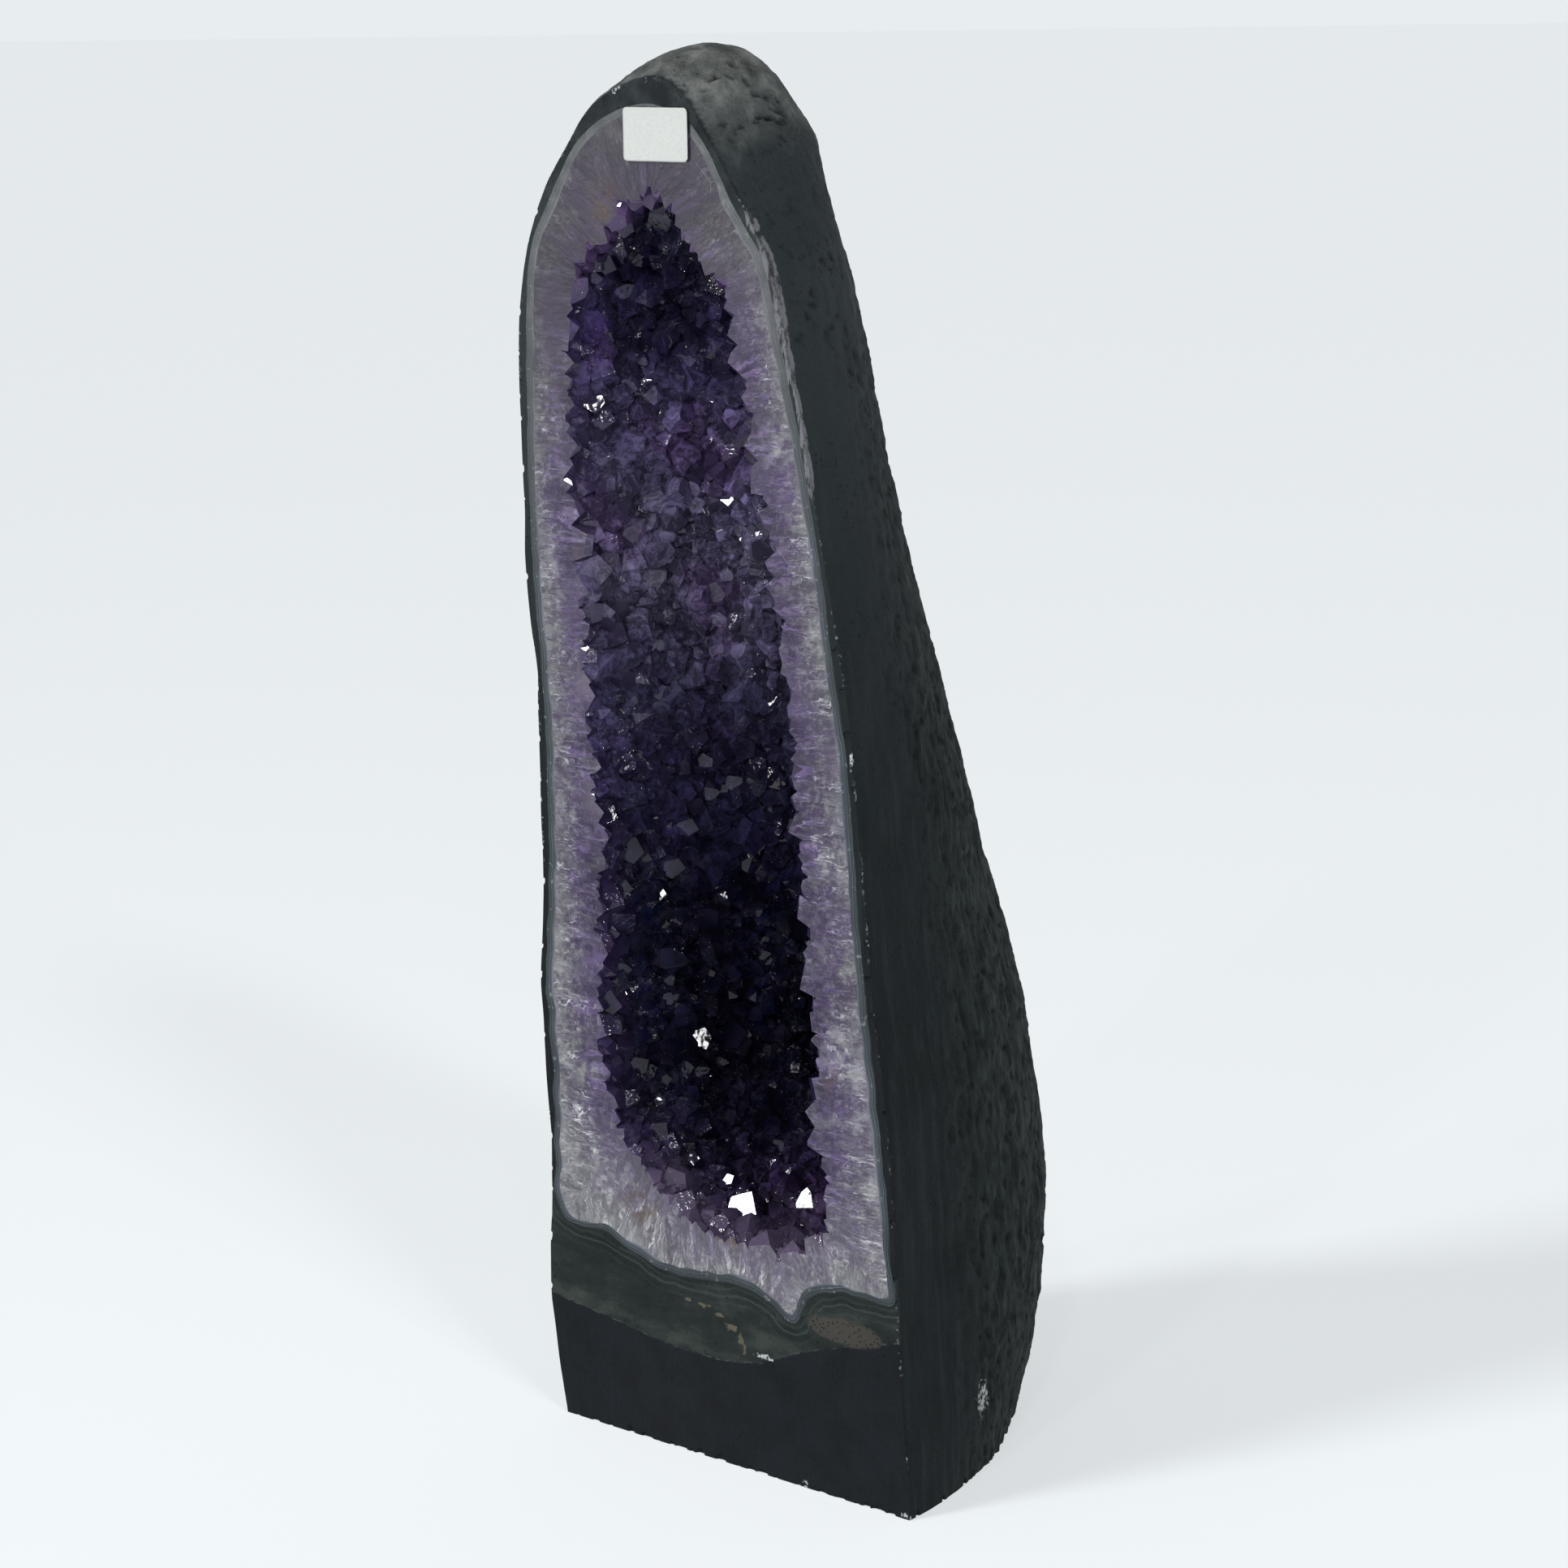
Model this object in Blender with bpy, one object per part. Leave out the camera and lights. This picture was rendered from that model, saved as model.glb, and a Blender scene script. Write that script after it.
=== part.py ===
"""Amethyst geode: one half of a tall hollow stone, sawn flat in front and underneath.

A basalt shell holds a thin agate band, and the band holds a thick lining of pale quartz. Larger
amethyst crystals stand in the lining around an open pocket, and a small blank label sits near the top.
The sawn front lies in the plane y = 0 while the pieces are made, with +y into the stone. An empty
then sets the whole geode down with the middle of its bounding box over the origin.
"""

import bisect
import math
import random

import bmesh
import bpy
from mathutils import Matrix, Vector, noise

noise.seed_set(1795113387)  # without a seed the stone's lumps would differ at each run

# Driving dimensions, in metres.
HEIGHT = 0.560
WIDTH = 0.190
DEPTH = 0.168
GAP = 0.0003  # left between pieces that touch

# The stone's outline before it is sawn, as horizontal ovals. Each row gives a height over HEIGHT, the
# left and right edges over WIDTH, the front and back over DEPTH, and the oval's fullness, where 2 is an
# ellipse and more is squarer. The front is negative where the saw cuts the oval open.
OVALS = (
    (-0.02, -0.430, 0.498, -0.82, 0.880, 1.85),
    (0.00, -0.437, 0.498, -0.82, 0.900, 1.85),
    (0.06, -0.474, 0.486, -0.84, 0.965, 2.20),
    (0.13, -0.480, 0.470, -0.86, 0.995, 2.45),
    (0.22, -0.474, 0.458, -0.88, 1.000, 2.45),
    (0.33, -0.486, 0.425, -0.86, 0.970, 2.30),
    (0.42, -0.472, 0.396, -0.80, 0.875, 2.15),
    (0.52, -0.470, 0.370, -0.68, 0.765, 2.00),
    (0.60, -0.488, 0.337, -0.58, 0.685, 2.00),
    (0.68, -0.499, 0.295, -0.53, 0.625, 2.00),
    (0.76, -0.500, 0.248, -0.49, 0.585, 2.00),
    (0.82, -0.494, 0.205, -0.42, 0.560, 2.00),
    (0.86, -0.483, 0.178, -0.32, 0.515, 2.00),
    (0.905, -0.442, 0.118, -0.165, 0.485, 2.00),
    (0.935, -0.405, 0.090, -0.095, 0.465, 2.00),
    (0.960, -0.350, 0.052, -0.050, 0.400, 2.00),
    (0.982, -0.255, 0.005, 0.015, 0.330, 2.00),
    (0.995, -0.175, -0.045, 0.090, 0.260, 2.00),
)
APEX = (1.0, -0.105, 0.175)  # height over HEIGHT, then x over WIDTH and y over DEPTH
ROCK_COLUMNS = 52
ROCK_ROWS = 44
ROCK_SWELL = 0.0022  # height of the stone's broad lumps
ROCK_SWELL_SIZE = 0.055
ROCK_BUMP = 0.0009  # height of its smaller bumps
ROCK_BUMP_SIZE = 0.018

# The pocket's spine, a line that its cross-sections turn around, as (x, height).
SPINE_FOOT = (0.004, 0.150)
SPINE_TOP = (-0.026, 0.455)
SIDE_STEPS = 18
TOP_STEPS = 14
FOOT_STEPS = 24
RING_STEPS = 7

# The agate line over the foot, as (x over WIDTH, height over HEIGHT).
FLOOR_LINE = (
    (-0.60, 0.145),
    (-0.47, 0.147),
    (-0.37, 0.152),
    (-0.25, 0.137),
    (-0.14, 0.127),
    (0.05, 0.132),
    (0.15, 0.125),
    (0.215, 0.115),
    (0.245, 0.136),
    (0.34, 0.150),
    (0.50, 0.141),
    (0.60, 0.140),
)

# The layers inside the shell. A layer's inset is measured inwards from the stone's outline.
RIND = 0.0030
AGATE_THICKNESS = 0.0034
POCKET_DEPTH = 0.72  # of the shell's pocket, over the local depth of the stone
QUARTZ_BACK = 0.019  # thickness of the lining behind the cavity
RIM_SIDE = 0.0155  # width of the quartz rim beside the cavity's upper end
RIM_LOW_EXTRA = 0.0090  # added to it near the foot
RIM_TOP = 0.033
# The cavity's outline below the spine's foot, as (degrees round from +x, distance from the foot).
CAVITY_FOOT = (
    (-180, 0.0635),
    (-165, 0.0610),
    (-145, 0.0565),
    (-120, 0.0560),
    (-90, 0.0580),
    (-65, 0.0620),
    (-42, 0.0695),
    (-20, 0.0560),
    (0, 0.0500),
)
LINING_SWELL = 0.0024
LINING_SWELL_SIZE = 0.024
LAYER_SWELL = 0.0010
LAYER_SWELL_SIZE = 0.030
FADE_DEPTH = 0.012  # within this of the sawn face, swells move a layer sideways only
CAVITY_SHALLOWER = AGATE_THICKNESS + QUARTZ_BACK  # how much shallower the cavity is than the pocket
PLUG_FRONT = 0.020  # how far the pocket's cutter stands out of the sawn face

# The larger crystals.
CRYSTAL_ROWS = 9
CRYSTAL_RADIUS = (0.0052, 0.0078)
CRYSTAL_SHOWN = (0.0095, 0.0150)  # how far one stands out of the lining
CRYSTAL_SEAT = 0.0060  # how far it reaches into the lining
CRYSTAL_TILT = math.radians(24)
TIP_SLOPE = 1.15  # height of a crystal's tip over its radius
CRYSTAL_WALL_TURNS = (-66, -34, 0, 34, 66)  # degrees round the cavity from its left wall to its right
# Crystals beyond the rows, as (degrees round from +x, degrees round the wall from the sawn face).
FOOT_CRYSTALS = ((-150, 45), (-120, 62), (-95, 30), (-65, 58), (-35, 40))
TOP_CRYSTALS = ((50, 50), (90, 30), (130, 55))
SEED = 11
SHARP_FROM = math.radians(40)  # edges that turn more than this are shaded as corners

LABEL_SIZE = (0.0317, 0.0200)
LABEL_CENTRE = (-0.0212, 0.5270)
LABEL_THICKNESS = 0.0004
LABEL_CORNER = 0.0018

BASALT = ("basalt", (0.030, 0.037, 0.039), 0.70)
AGATE = ("agate", (0.32, 0.37, 0.43), 0.30)
QUARTZ = ("quartz", (0.50, 0.44, 0.58), 0.32)
AMETHYST = ("amethyst", (0.085, 0.035, 0.170), 0.10)
PAPER = ("paper", (0.86, 0.87, 0.88), 0.60)


def clear_scene():
    for obj in list(bpy.data.objects):
        bpy.data.objects.remove(obj)


def make_material(look):
    name, colour, roughness = look
    found = bpy.data.materials.get(name)
    if found:
        return found
    material = bpy.data.materials.new(name)
    material.use_nodes = True
    shader = material.node_tree.nodes["Principled BSDF"]
    shader.inputs["Base Color"].default_value = (*colour, 1.0)
    shader.inputs["Roughness"].default_value = roughness
    shader.inputs["Metallic"].default_value = 0.0
    material.diffuse_color = (*colour, 1.0)
    return material


def add_object(name, bm, look, parent, smooth=False):
    bmesh.ops.recalc_face_normals(bm, faces=bm.faces)
    mesh = bpy.data.meshes.new(name)
    bm.to_mesh(mesh)
    bm.free()
    if smooth:
        mesh.shade_smooth()
        mesh.set_sharp_from_angle(angle=SHARP_FROM)
    mesh.materials.append(make_material(look))
    obj = bpy.data.objects.new(name, mesh)
    obj.parent = parent
    bpy.context.scene.collection.objects.link(obj)
    return obj


def add_cutter(name, bm, parent):
    cutter = add_object(name, bm, BASALT, parent)
    cutter.hide_render = True
    cutter.display_type = "WIRE"
    return cutter


def cut(obj, cutter):
    modifier = obj.modifiers.new("cut_" + cutter.name, "BOOLEAN")
    modifier.operation = "DIFFERENCE"
    modifier.object = cutter


def smooth_value(places, values, place):
    """The value at a place on the smooth curve through the given values."""
    k = min(max(bisect.bisect_right(places, place) - 1, 0), len(places) - 2)

    def slope(i):
        low = max(i - 1, 0)
        high = min(i + 1, len(places) - 1)
        return (values[high] - values[low]) / (places[high] - places[low])

    span = places[k + 1] - places[k]
    t = (place - places[k]) / span
    rise = values[k + 1] - values[k]
    bend = t * (1 - t) * ((1 - t) * (slope(k) * span - rise) - t * (slope(k + 1) * span - rise))
    return values[k] + rise * t + bend


def swell(point, size, height):
    """A smooth random push, the same for the same point."""
    return noise.noise_vector(point / size) * height


# The stone


OVAL_PLACES = [row[0] for row in OVALS]
OVAL_COLUMNS = list(zip(*[row[1:] for row in OVALS]))


def oval_at(z):
    """The stone's oval at a height: (centre x, centre y, half width, half depth, fullness)."""
    left, right, front, back, fullness = (
        smooth_value(OVAL_PLACES, column, z / HEIGHT) for column in OVAL_COLUMNS
    )
    x = WIDTH * (left + right) / 2
    y = DEPTH * (front + back) / 2
    return x, y, WIDTH * (right - left) / 2, DEPTH * (back - front) / 2, fullness


def oval_point(z, angle):
    x, y, half_width, half_depth, fullness = oval_at(z)
    across = math.copysign(abs(math.cos(angle)) ** (2 / fullness), math.cos(angle))
    inward = math.copysign(abs(math.sin(angle)) ** (2 / fullness), math.sin(angle))
    return Vector((x + half_width * across, y + half_depth * inward, z))


def face_edges(z):
    """The sawn face's left and right edges at a height, or None above or below the face."""
    if not 0 <= z <= HEIGHT:
        return None
    x, y, half_width, half_depth, fullness = oval_at(z)
    reach = abs(y / half_depth)
    if reach >= 1:
        return None
    half_chord = half_width * (1 - reach**fullness) ** (1 / fullness)
    return x - half_chord, x + half_chord


def rock_heights():
    """Row heights, closer together towards the dome."""
    low = OVAL_PLACES[0]
    high = OVAL_PLACES[-1]
    steps = [row / (ROCK_ROWS - 1) for row in range(ROCK_ROWS)]
    return [HEIGHT * (low + (high - low) * math.sin(step * math.pi / 2) ** 0.86) for step in steps]


def saw(bm, normal):
    """Cuts a closed body on a plane through the origin and closes it with one flat face."""
    geometry = bm.verts[:] + bm.edges[:] + bm.faces[:]
    bmesh.ops.bisect_plane(bm, geom=geometry, plane_co=(0, 0, 0), plane_no=normal, clear_outer=True)
    rim = [edge for edge in bm.edges if edge.is_boundary]
    bmesh.ops.holes_fill(bm, edges=rim)


def rock_body():
    bm = bmesh.new()
    rings = []
    for z in rock_heights():
        angles = [2 * math.pi * column / ROCK_COLUMNS for column in range(ROCK_COLUMNS)]
        rings.append([bm.verts.new(oval_point(z, angle)) for angle in angles])
    for lower, upper in zip(rings, rings[1:]):
        for k in range(ROCK_COLUMNS):
            after = (k + 1) % ROCK_COLUMNS
            bm.faces.new((lower[k], lower[after], upper[after], upper[k]))
    apex = bm.verts.new((APEX[1] * WIDTH, APEX[2] * DEPTH, APEX[0] * HEIGHT))
    for k in range(ROCK_COLUMNS):
        bm.faces.new((rings[-1][k], rings[-1][(k + 1) % ROCK_COLUMNS], apex))
    bm.faces.new(rings[0][::-1])
    for vert in bm.verts:
        broad = swell(vert.co, ROCK_SWELL_SIZE, ROCK_SWELL)
        small = swell(vert.co, ROCK_BUMP_SIZE, ROCK_BUMP)
        vert.co += broad + small
    saw(bm, (0, -1, 0))
    saw(bm, (0, 0, -1))
    return bm


# The pocket and its layers


FLOOR_PLACES, FLOOR_VALUES = zip(*FLOOR_LINE)
FOOT_TURNS, FOOT_REACHES = zip(*CAVITY_FOOT)


def floor_line(x):
    """Height of the wavy agate line over the foot."""
    return HEIGHT * smooth_value(FLOOR_PLACES, FLOOR_VALUES, x / WIDTH)


def inside_pocket_outline(x, z):
    edges = face_edges(z)
    return edges is not None and edges[0] < x < edges[1] and z > floor_line(x)


def reach_of(origin, direction):
    """Distance from a point on the sawn face to the edge of its quartz and agate, by halving."""
    near = 0.0
    far = HEIGHT
    for _ in range(30):
        middle = (near + far) / 2
        x = origin[0] + direction[0] * middle
        z = origin[1] + direction[1] * middle
        if inside_pocket_outline(x, z):
            near = middle
        else:
            far = middle
    return near


def spine_point(t):
    return tuple(low + (high - low) * t for low, high in zip(SPINE_FOOT, SPINE_TOP))


def spokes():
    """The pocket's spokes, once round the sawn face: (origin on the spine, direction, spine place)."""
    found = [(spine_point(t), (-1.0, 0.0), t) for t in (k / SIDE_STEPS for k in range(SIDE_STEPS))]
    for k in range(TOP_STEPS + 1):
        turn = math.pi * k / TOP_STEPS
        found.append((SPINE_TOP, (-math.cos(turn), math.sin(turn)), 1.0))
    for k in range(1, SIDE_STEPS):
        t = 1 - k / SIDE_STEPS
        found.append((spine_point(t), (1.0, 0.0), t))
    for k in range(FOOT_STEPS):
        turn = math.pi * k / FOOT_STEPS
        found.append((SPINE_FOOT, (math.cos(turn), -math.sin(turn)), 0.0))
    return found


def rim_width(direction, t):
    """Width of the sawn quartz rim along a spoke beside or above the cavity."""
    side = RIM_SIDE + RIM_LOW_EXTRA * (1 - t) ** 1.5
    return side + (RIM_TOP - side) * direction[1] ** 3


def layer_reach(inset):
    """The function that gives a spoke's length to a layer lying this far inside the stone's outline."""
    return lambda origin, direction, t: reach_of(origin, direction) - inset


def cavity_reach(origin, direction, t):
    if direction[1] < 0:
        degrees = math.degrees(math.atan2(direction[1], direction[0]))
        return smooth_value(FOOT_TURNS, FOOT_REACHES, degrees)
    return reach_of(origin, direction) - RIND - AGATE_THICKNESS - rim_width(direction, t)


def stone_depth(z):
    _, y, _, half_depth, _ = oval_at(z)
    return y + half_depth


def wall_point(origin, direction, reach, angle, shallower):
    """A point on a layer's bowl: angle is 0 at the sawn face and a right angle over the spine."""
    x = origin[0] + direction[0] * reach * math.cos(angle)
    z = origin[1] + direction[1] * reach * math.cos(angle)
    depth = POCKET_DEPTH * stone_depth(z) - shallower
    return Vector((x, depth * math.sin(angle), z))


def swollen(point, size, height):
    push = swell(point, size, height)
    push.y *= min(1.0, point.y / FADE_DEPTH)
    return point + push


def lumpy(point):
    """A point of the cavity's wall, which is lumpier than the layers behind it."""
    return swollen(point, LINING_SWELL_SIZE, LINING_SWELL)


def layer_rings(reach, shallower):
    """A bowl's points, ring by ring from the sawn face to the spine. reach gives a spoke's length."""
    arms = [(origin, direction, reach(origin, direction, t)) for origin, direction, t in spokes()]
    rings = []
    for step in range(RING_STEPS + 1):
        angle = math.pi / 2 * step / RING_STEPS
        ring = [wall_point(origin, direction, length, angle, shallower) for origin, direction, length in arms]
        rings.append([swollen(point, LAYER_SWELL_SIZE, LAYER_SWELL) for point in ring])
    return rings


def add_rings(bm, rings):
    return [[bm.verts.new(point) for point in ring] for ring in rings]


def join_rings(bm, first, second):
    """Triangles between two rings, all split the same way so that nested layers stay apart."""
    count = len(first)
    for k in range(count):
        after = (k + 1) % count
        bm.faces.new((first[k], first[after], second[after]))
        bm.faces.new((first[k], second[after], second[k]))


def close_bowl(bm):
    bmesh.ops.remove_doubles(bm, verts=bm.verts, dist=1e-5)
    bmesh.ops.dissolve_degenerate(bm, edges=bm.edges, dist=1e-5)


def bowl_between(outer_rings, inner_rings):
    """A closed bowl-shaped layer with its flat sawn edge at the front."""
    bm = bmesh.new()
    outer = add_rings(bm, outer_rings)
    inner = add_rings(bm, inner_rings)
    for rings in (outer, inner):
        for first, second in zip(rings, rings[1:]):
            join_rings(bm, first, second)
    join_rings(bm, outer[0], inner[0])
    close_bowl(bm)
    return bm


def bowl_plug(rings, forward):
    """The solid that fills a bowl and stands out in front of the sawn face."""
    bm = bmesh.new()
    front = [point - Vector((0, forward, 0)) for point in rings[0]]
    added = add_rings(bm, [front] + rings)
    for first, second in zip(added, added[1:]):
        join_rings(bm, first, second)
    bm.faces.new(added[0])
    close_bowl(bm)
    return bm


def build_shell(parent):
    shell = add_object("basalt_shell", rock_body(), BASALT, parent, smooth=True)
    pocket = bowl_plug(layer_rings(layer_reach(RIND), 0.0), PLUG_FRONT)
    cut(shell, add_cutter("pocket_cutter", pocket, parent))
    return shell


def build_agate(parent):
    outer = layer_rings(layer_reach(RIND + GAP), GAP)
    inner = layer_rings(layer_reach(RIND + GAP + AGATE_THICKNESS), GAP + AGATE_THICKNESS)
    add_object("agate_band", bowl_between(outer, inner), AGATE, parent, smooth=True)


def build_quartz(parent):
    outer = layer_rings(layer_reach(RIND + 2 * GAP + AGATE_THICKNESS), 2 * GAP + AGATE_THICKNESS)
    wall = [[lumpy(point) for point in ring] for ring in layer_rings(cavity_reach, CAVITY_SHALLOWER)]
    return add_object("quartz_lining", bowl_between(outer, wall), QUARTZ, parent, smooth=True)


# The crystals


def crystal_body(radius, shown, grow=0.0):
    """A six-sided crystal along +z with its pointed end up. z = 0 is where it leaves the lining.

    grow moves every face outwards by about that much, which makes a socket for the crystal.
    """
    bm = bmesh.new()
    wide = radius + grow / math.cos(math.radians(30))
    shoulder = shown - TIP_SLOPE * radius
    rings = []
    for z in (-CRYSTAL_SEAT - grow, shoulder + grow):
        corners = [math.radians(60 * k) for k in range(6)]
        rings.append([bm.verts.new((wide * math.cos(a), wide * math.sin(a), z)) for a in corners])
    tip = bm.verts.new((0, 0, shoulder + grow + TIP_SLOPE * wide))
    for k in range(6):
        after = (k + 1) % 6
        bm.faces.new((rings[0][k], rings[0][after], rings[1][after], rings[1][k]))
        bm.faces.new((rings[1][k], rings[1][after], tip))
    bm.faces.new(rings[0][::-1])
    return bm


def wall_seat(origin, turn, wall_angle, t):
    """A point on the cavity's wall. turn is measured from +x on the sawn face, up being positive."""
    direction = (math.cos(turn), math.sin(turn))
    length = cavity_reach(origin, direction, t)
    point = wall_point(origin, direction, length, wall_angle, CAVITY_SHALLOWER)
    return lumpy(swollen(point, LAYER_SWELL_SIZE, LAYER_SWELL))


def crystal_seats(picker):
    """Where each crystal stands on the cavity's wall, with the spine point that it faces."""
    for row in range(CRYSTAL_ROWS):
        for column, degrees in enumerate(CRYSTAL_WALL_TURNS):
            stagger = 0.5 * (column % 2)
            t = (row + stagger + picker.uniform(0.0, 0.32)) / (CRYSTAL_ROWS - 0.18)
            side = degrees + picker.uniform(-5, 5)
            turn = 0.0 if side > 0 else math.pi
            origin = spine_point(t)
            yield wall_seat(origin, turn, math.radians(90 - abs(side)), t), origin
    for turn, wall_angle in FOOT_CRYSTALS:
        yield wall_seat(SPINE_FOOT, math.radians(turn), math.radians(wall_angle), 0.0), SPINE_FOOT
    for turn, wall_angle in TOP_CRYSTALS:
        yield wall_seat(SPINE_TOP, math.radians(turn), math.radians(wall_angle), 1.0), SPINE_TOP


def growth_direction(seat, origin, picker):
    """Roughly straight out of the wall, with a random lean."""
    middle = Vector((origin[0], 0.30 * seat.y, origin[1]))
    straight = (middle - seat).normalized()
    lean = Vector([picker.gauss(0, 1) for _ in range(3)]).normalized()
    return (straight + lean * math.tan(CRYSTAL_TILT) * picker.random()).normalized()


def append_body(bm, body):
    """Moves the faces of one bmesh into another."""
    mesh = bpy.data.meshes.new("moved")
    body.to_mesh(mesh)
    body.free()
    bm.from_mesh(mesh)
    bpy.data.meshes.remove(mesh)


def build_crystals(lining, parent):
    picker = random.Random(SEED)
    sockets = bmesh.new()
    for number, (seat, origin) in enumerate(crystal_seats(picker), start=1):
        radius = picker.uniform(*CRYSTAL_RADIUS)
        shown = picker.uniform(*CRYSTAL_SHOWN)
        stand = growth_direction(seat, origin, picker).to_track_quat("Z", "Y").to_matrix().to_4x4()
        turn = Matrix.Rotation(picker.uniform(0, math.pi / 3), 4, "Z")
        place = Matrix.Translation(seat) @ stand @ turn
        crystal = add_object(f"amethyst_crystal_{number:02d}", crystal_body(radius, shown), AMETHYST, parent)
        crystal.matrix_local = place
        socket = crystal_body(radius, shown, GAP)
        socket.transform(place)
        append_body(sockets, socket)
    cut(lining, add_cutter("socket_cutter", sockets, parent))


# The label


def rounded_rectangle(width, height, corner, steps=4):
    """The outline's points in the sawn face's plane, anticlockwise."""
    points = []
    for quarter, (side, up) in enumerate(((1, 1), (-1, 1), (-1, -1), (1, -1))):
        for step in range(steps + 1):
            angle = math.pi / 2 * (quarter + step / steps)
            x = side * (width / 2 - corner) + corner * math.cos(angle)
            z = up * (height / 2 - corner) + corner * math.sin(angle)
            points.append((x, 0.0, z))
    return points


def build_label(parent):
    bm = bmesh.new()
    outline = rounded_rectangle(*LABEL_SIZE, LABEL_CORNER)
    front = bm.faces.new([bm.verts.new(point) for point in outline])
    added = bmesh.ops.extrude_face_region(bm, geom=[front])
    back = [item for item in added["geom"] if isinstance(item, bmesh.types.BMVert)]
    bmesh.ops.translate(bm, verts=back, vec=(0, LABEL_THICKNESS, 0))
    label = add_object("paper_label", bm, PAPER, parent)
    label.location = (LABEL_CENTRE[0], -GAP - LABEL_THICKNESS, LABEL_CENTRE[1])


def centre_on_footprint(geode, outer):
    """Moves the geode so that the middle of its bounding box stands over the origin."""
    bpy.context.view_layer.update()
    corners = [vert.co for vert in outer.data.vertices]
    label_front = GAP + LABEL_THICKNESS
    low_x, high_x = min(c.x for c in corners), max(c.x for c in corners)
    low_y, high_y = -label_front, max(c.y for c in corners)
    geode.location = (-(low_x + high_x) / 2, -(low_y + high_y) / 2, 0.0)


def main():
    clear_scene()
    geode = bpy.data.objects.new("geode", None)
    bpy.context.scene.collection.objects.link(geode)
    shell = build_shell(geode)
    build_agate(geode)
    lining = build_quartz(geode)
    build_crystals(lining, geode)
    build_label(geode)
    centre_on_footprint(geode, shell)


main()
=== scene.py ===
"""Looks for the amethyst geode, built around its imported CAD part.

The stone, the agate band and the quartz lining are replaced by finer bodies that are cut from the CAD
surfaces, so they fit each other exactly. Thousands of small quartz points grow on the pocket's wall, and
each large CAD crystal is replaced by a facetted one in the same place.
"""

import itertools
import math
import random

import bmesh
import bpy
import numpy as np
from mathutils import Matrix, Vector, geometry, noise
from mathutils.kdtree import KDTree


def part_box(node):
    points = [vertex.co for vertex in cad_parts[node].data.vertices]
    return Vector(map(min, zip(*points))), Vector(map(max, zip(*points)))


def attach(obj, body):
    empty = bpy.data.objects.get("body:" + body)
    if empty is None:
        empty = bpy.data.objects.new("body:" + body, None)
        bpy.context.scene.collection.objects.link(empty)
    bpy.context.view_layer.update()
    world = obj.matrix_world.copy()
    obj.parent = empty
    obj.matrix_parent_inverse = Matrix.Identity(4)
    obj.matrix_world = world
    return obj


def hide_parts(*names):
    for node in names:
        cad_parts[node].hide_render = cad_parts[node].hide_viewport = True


noise.seed_set(4)  # without a seed the noise vectors would differ at each run

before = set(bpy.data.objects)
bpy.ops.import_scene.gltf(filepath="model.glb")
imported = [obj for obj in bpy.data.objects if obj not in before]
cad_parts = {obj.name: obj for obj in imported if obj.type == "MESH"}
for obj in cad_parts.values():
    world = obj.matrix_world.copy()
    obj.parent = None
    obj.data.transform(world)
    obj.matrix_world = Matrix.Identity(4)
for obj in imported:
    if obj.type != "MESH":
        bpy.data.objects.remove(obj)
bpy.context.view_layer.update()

MM = 0.001
FACE_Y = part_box("basalt_shell")[0][1]  # the plane of the sawn front
WELD = 0.01 * MM
RUN_ON = 14 * MM  # how far a body runs on past a plane that later cuts it off

# The stone.
ROCK_VOXEL = 1.75 * MM
ROCK_SMOOTHING = 7
CRACKED_CROWN = Vector((0.009, -0.064, 0.541))
CROWN_REACH = 24 * MM
FOOT_BORDER = (  # height of the paint's upper edge on the foot, as (x, z)
    (-0.095, 0.052),
    (-0.052, 0.047),
    (-0.027, 0.0435),
    (0.003, 0.0434),
    (0.021, 0.047),
    (0.041, 0.056),
    (0.066, 0.065),
    (0.095, 0.073),
)
CHIPPED_FOOT = (-0.078, 0.094)  # from left to right along the front's lower edge
CHIPPED_SIDES = (0.012, 0.50)  # from the lowest to the highest chip on the front's side edges
FOOT_TOP = 0.098  # where the foot's rough front has faded to a flat one
FOOT_CELL = 1.4 * MM
HALO_LINES = ((2.4 * MM, 0.14), (5.2 * MM, 0.28), (8.5 * MM, 0.08))  # (distance from the pocket, share)
NEAR_BLACK = (0.001, 0.001, 0.001)

# The rims of the layers on the sawn front.
RIM_STEPS = 13  # how many parts each coarse rim edge is divided into
RIM_WAVE = 0.45 * MM
RIM_WAVE_SIZE = 9 * MM
CRESCENT_FROM = 0.523  # above this height the layers are pressed down
CRESCENT_PRESS = 0.30
AGATE_SPACING = 0.9 * MM  # between the points that fill the agate's sawn front
QUARTZ_SPACING = 1.3 * MM

# The small quartz points.
DRUSE_SEED = 5
DRUSE_RADII = (2.2 * MM, 8.2 * MM)
DRUSE_TRIES = 26000
DRUSE_CLOSENESS = 0.52  # distance between two points over the sum of their radii
DRUSE_PATCH = 22 * MM  # size of the patches with larger or smaller points
DRUSE_IN_FRONT = 4 * MM  # points this far in front of the sawn plane still get cut by it
DRUSE_CELL = 2 * DRUSE_RADII[1]
TEMPLATES = 36
FACE_LEAN = math.radians(51.8)  # from a quartz tip face's normal to the crystal's axis
POINT_REACH = 1.75  # of a quartz point from its middle, in radii
NEAR_POINTS = 14  # how many crystals are tried as the owner of a face
ON_PLANE = 0.008 * MM
POINT_FOOT = 0.9  # of a quartz point below its place, in radii
GROUP_CELL = 2 * POINT_REACH * DRUSE_RADII[1]
SPINE_LOW = (0.004, 55 * MM)  # the pocket's middle line: x, and height over the pocket's foot
SPINE_HIGH = (-0.026, 48 * MM)  # x, and distance below the pocket's top
SEAT_DEPTH = 6 * MM  # of a large crystal in the lining

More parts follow.
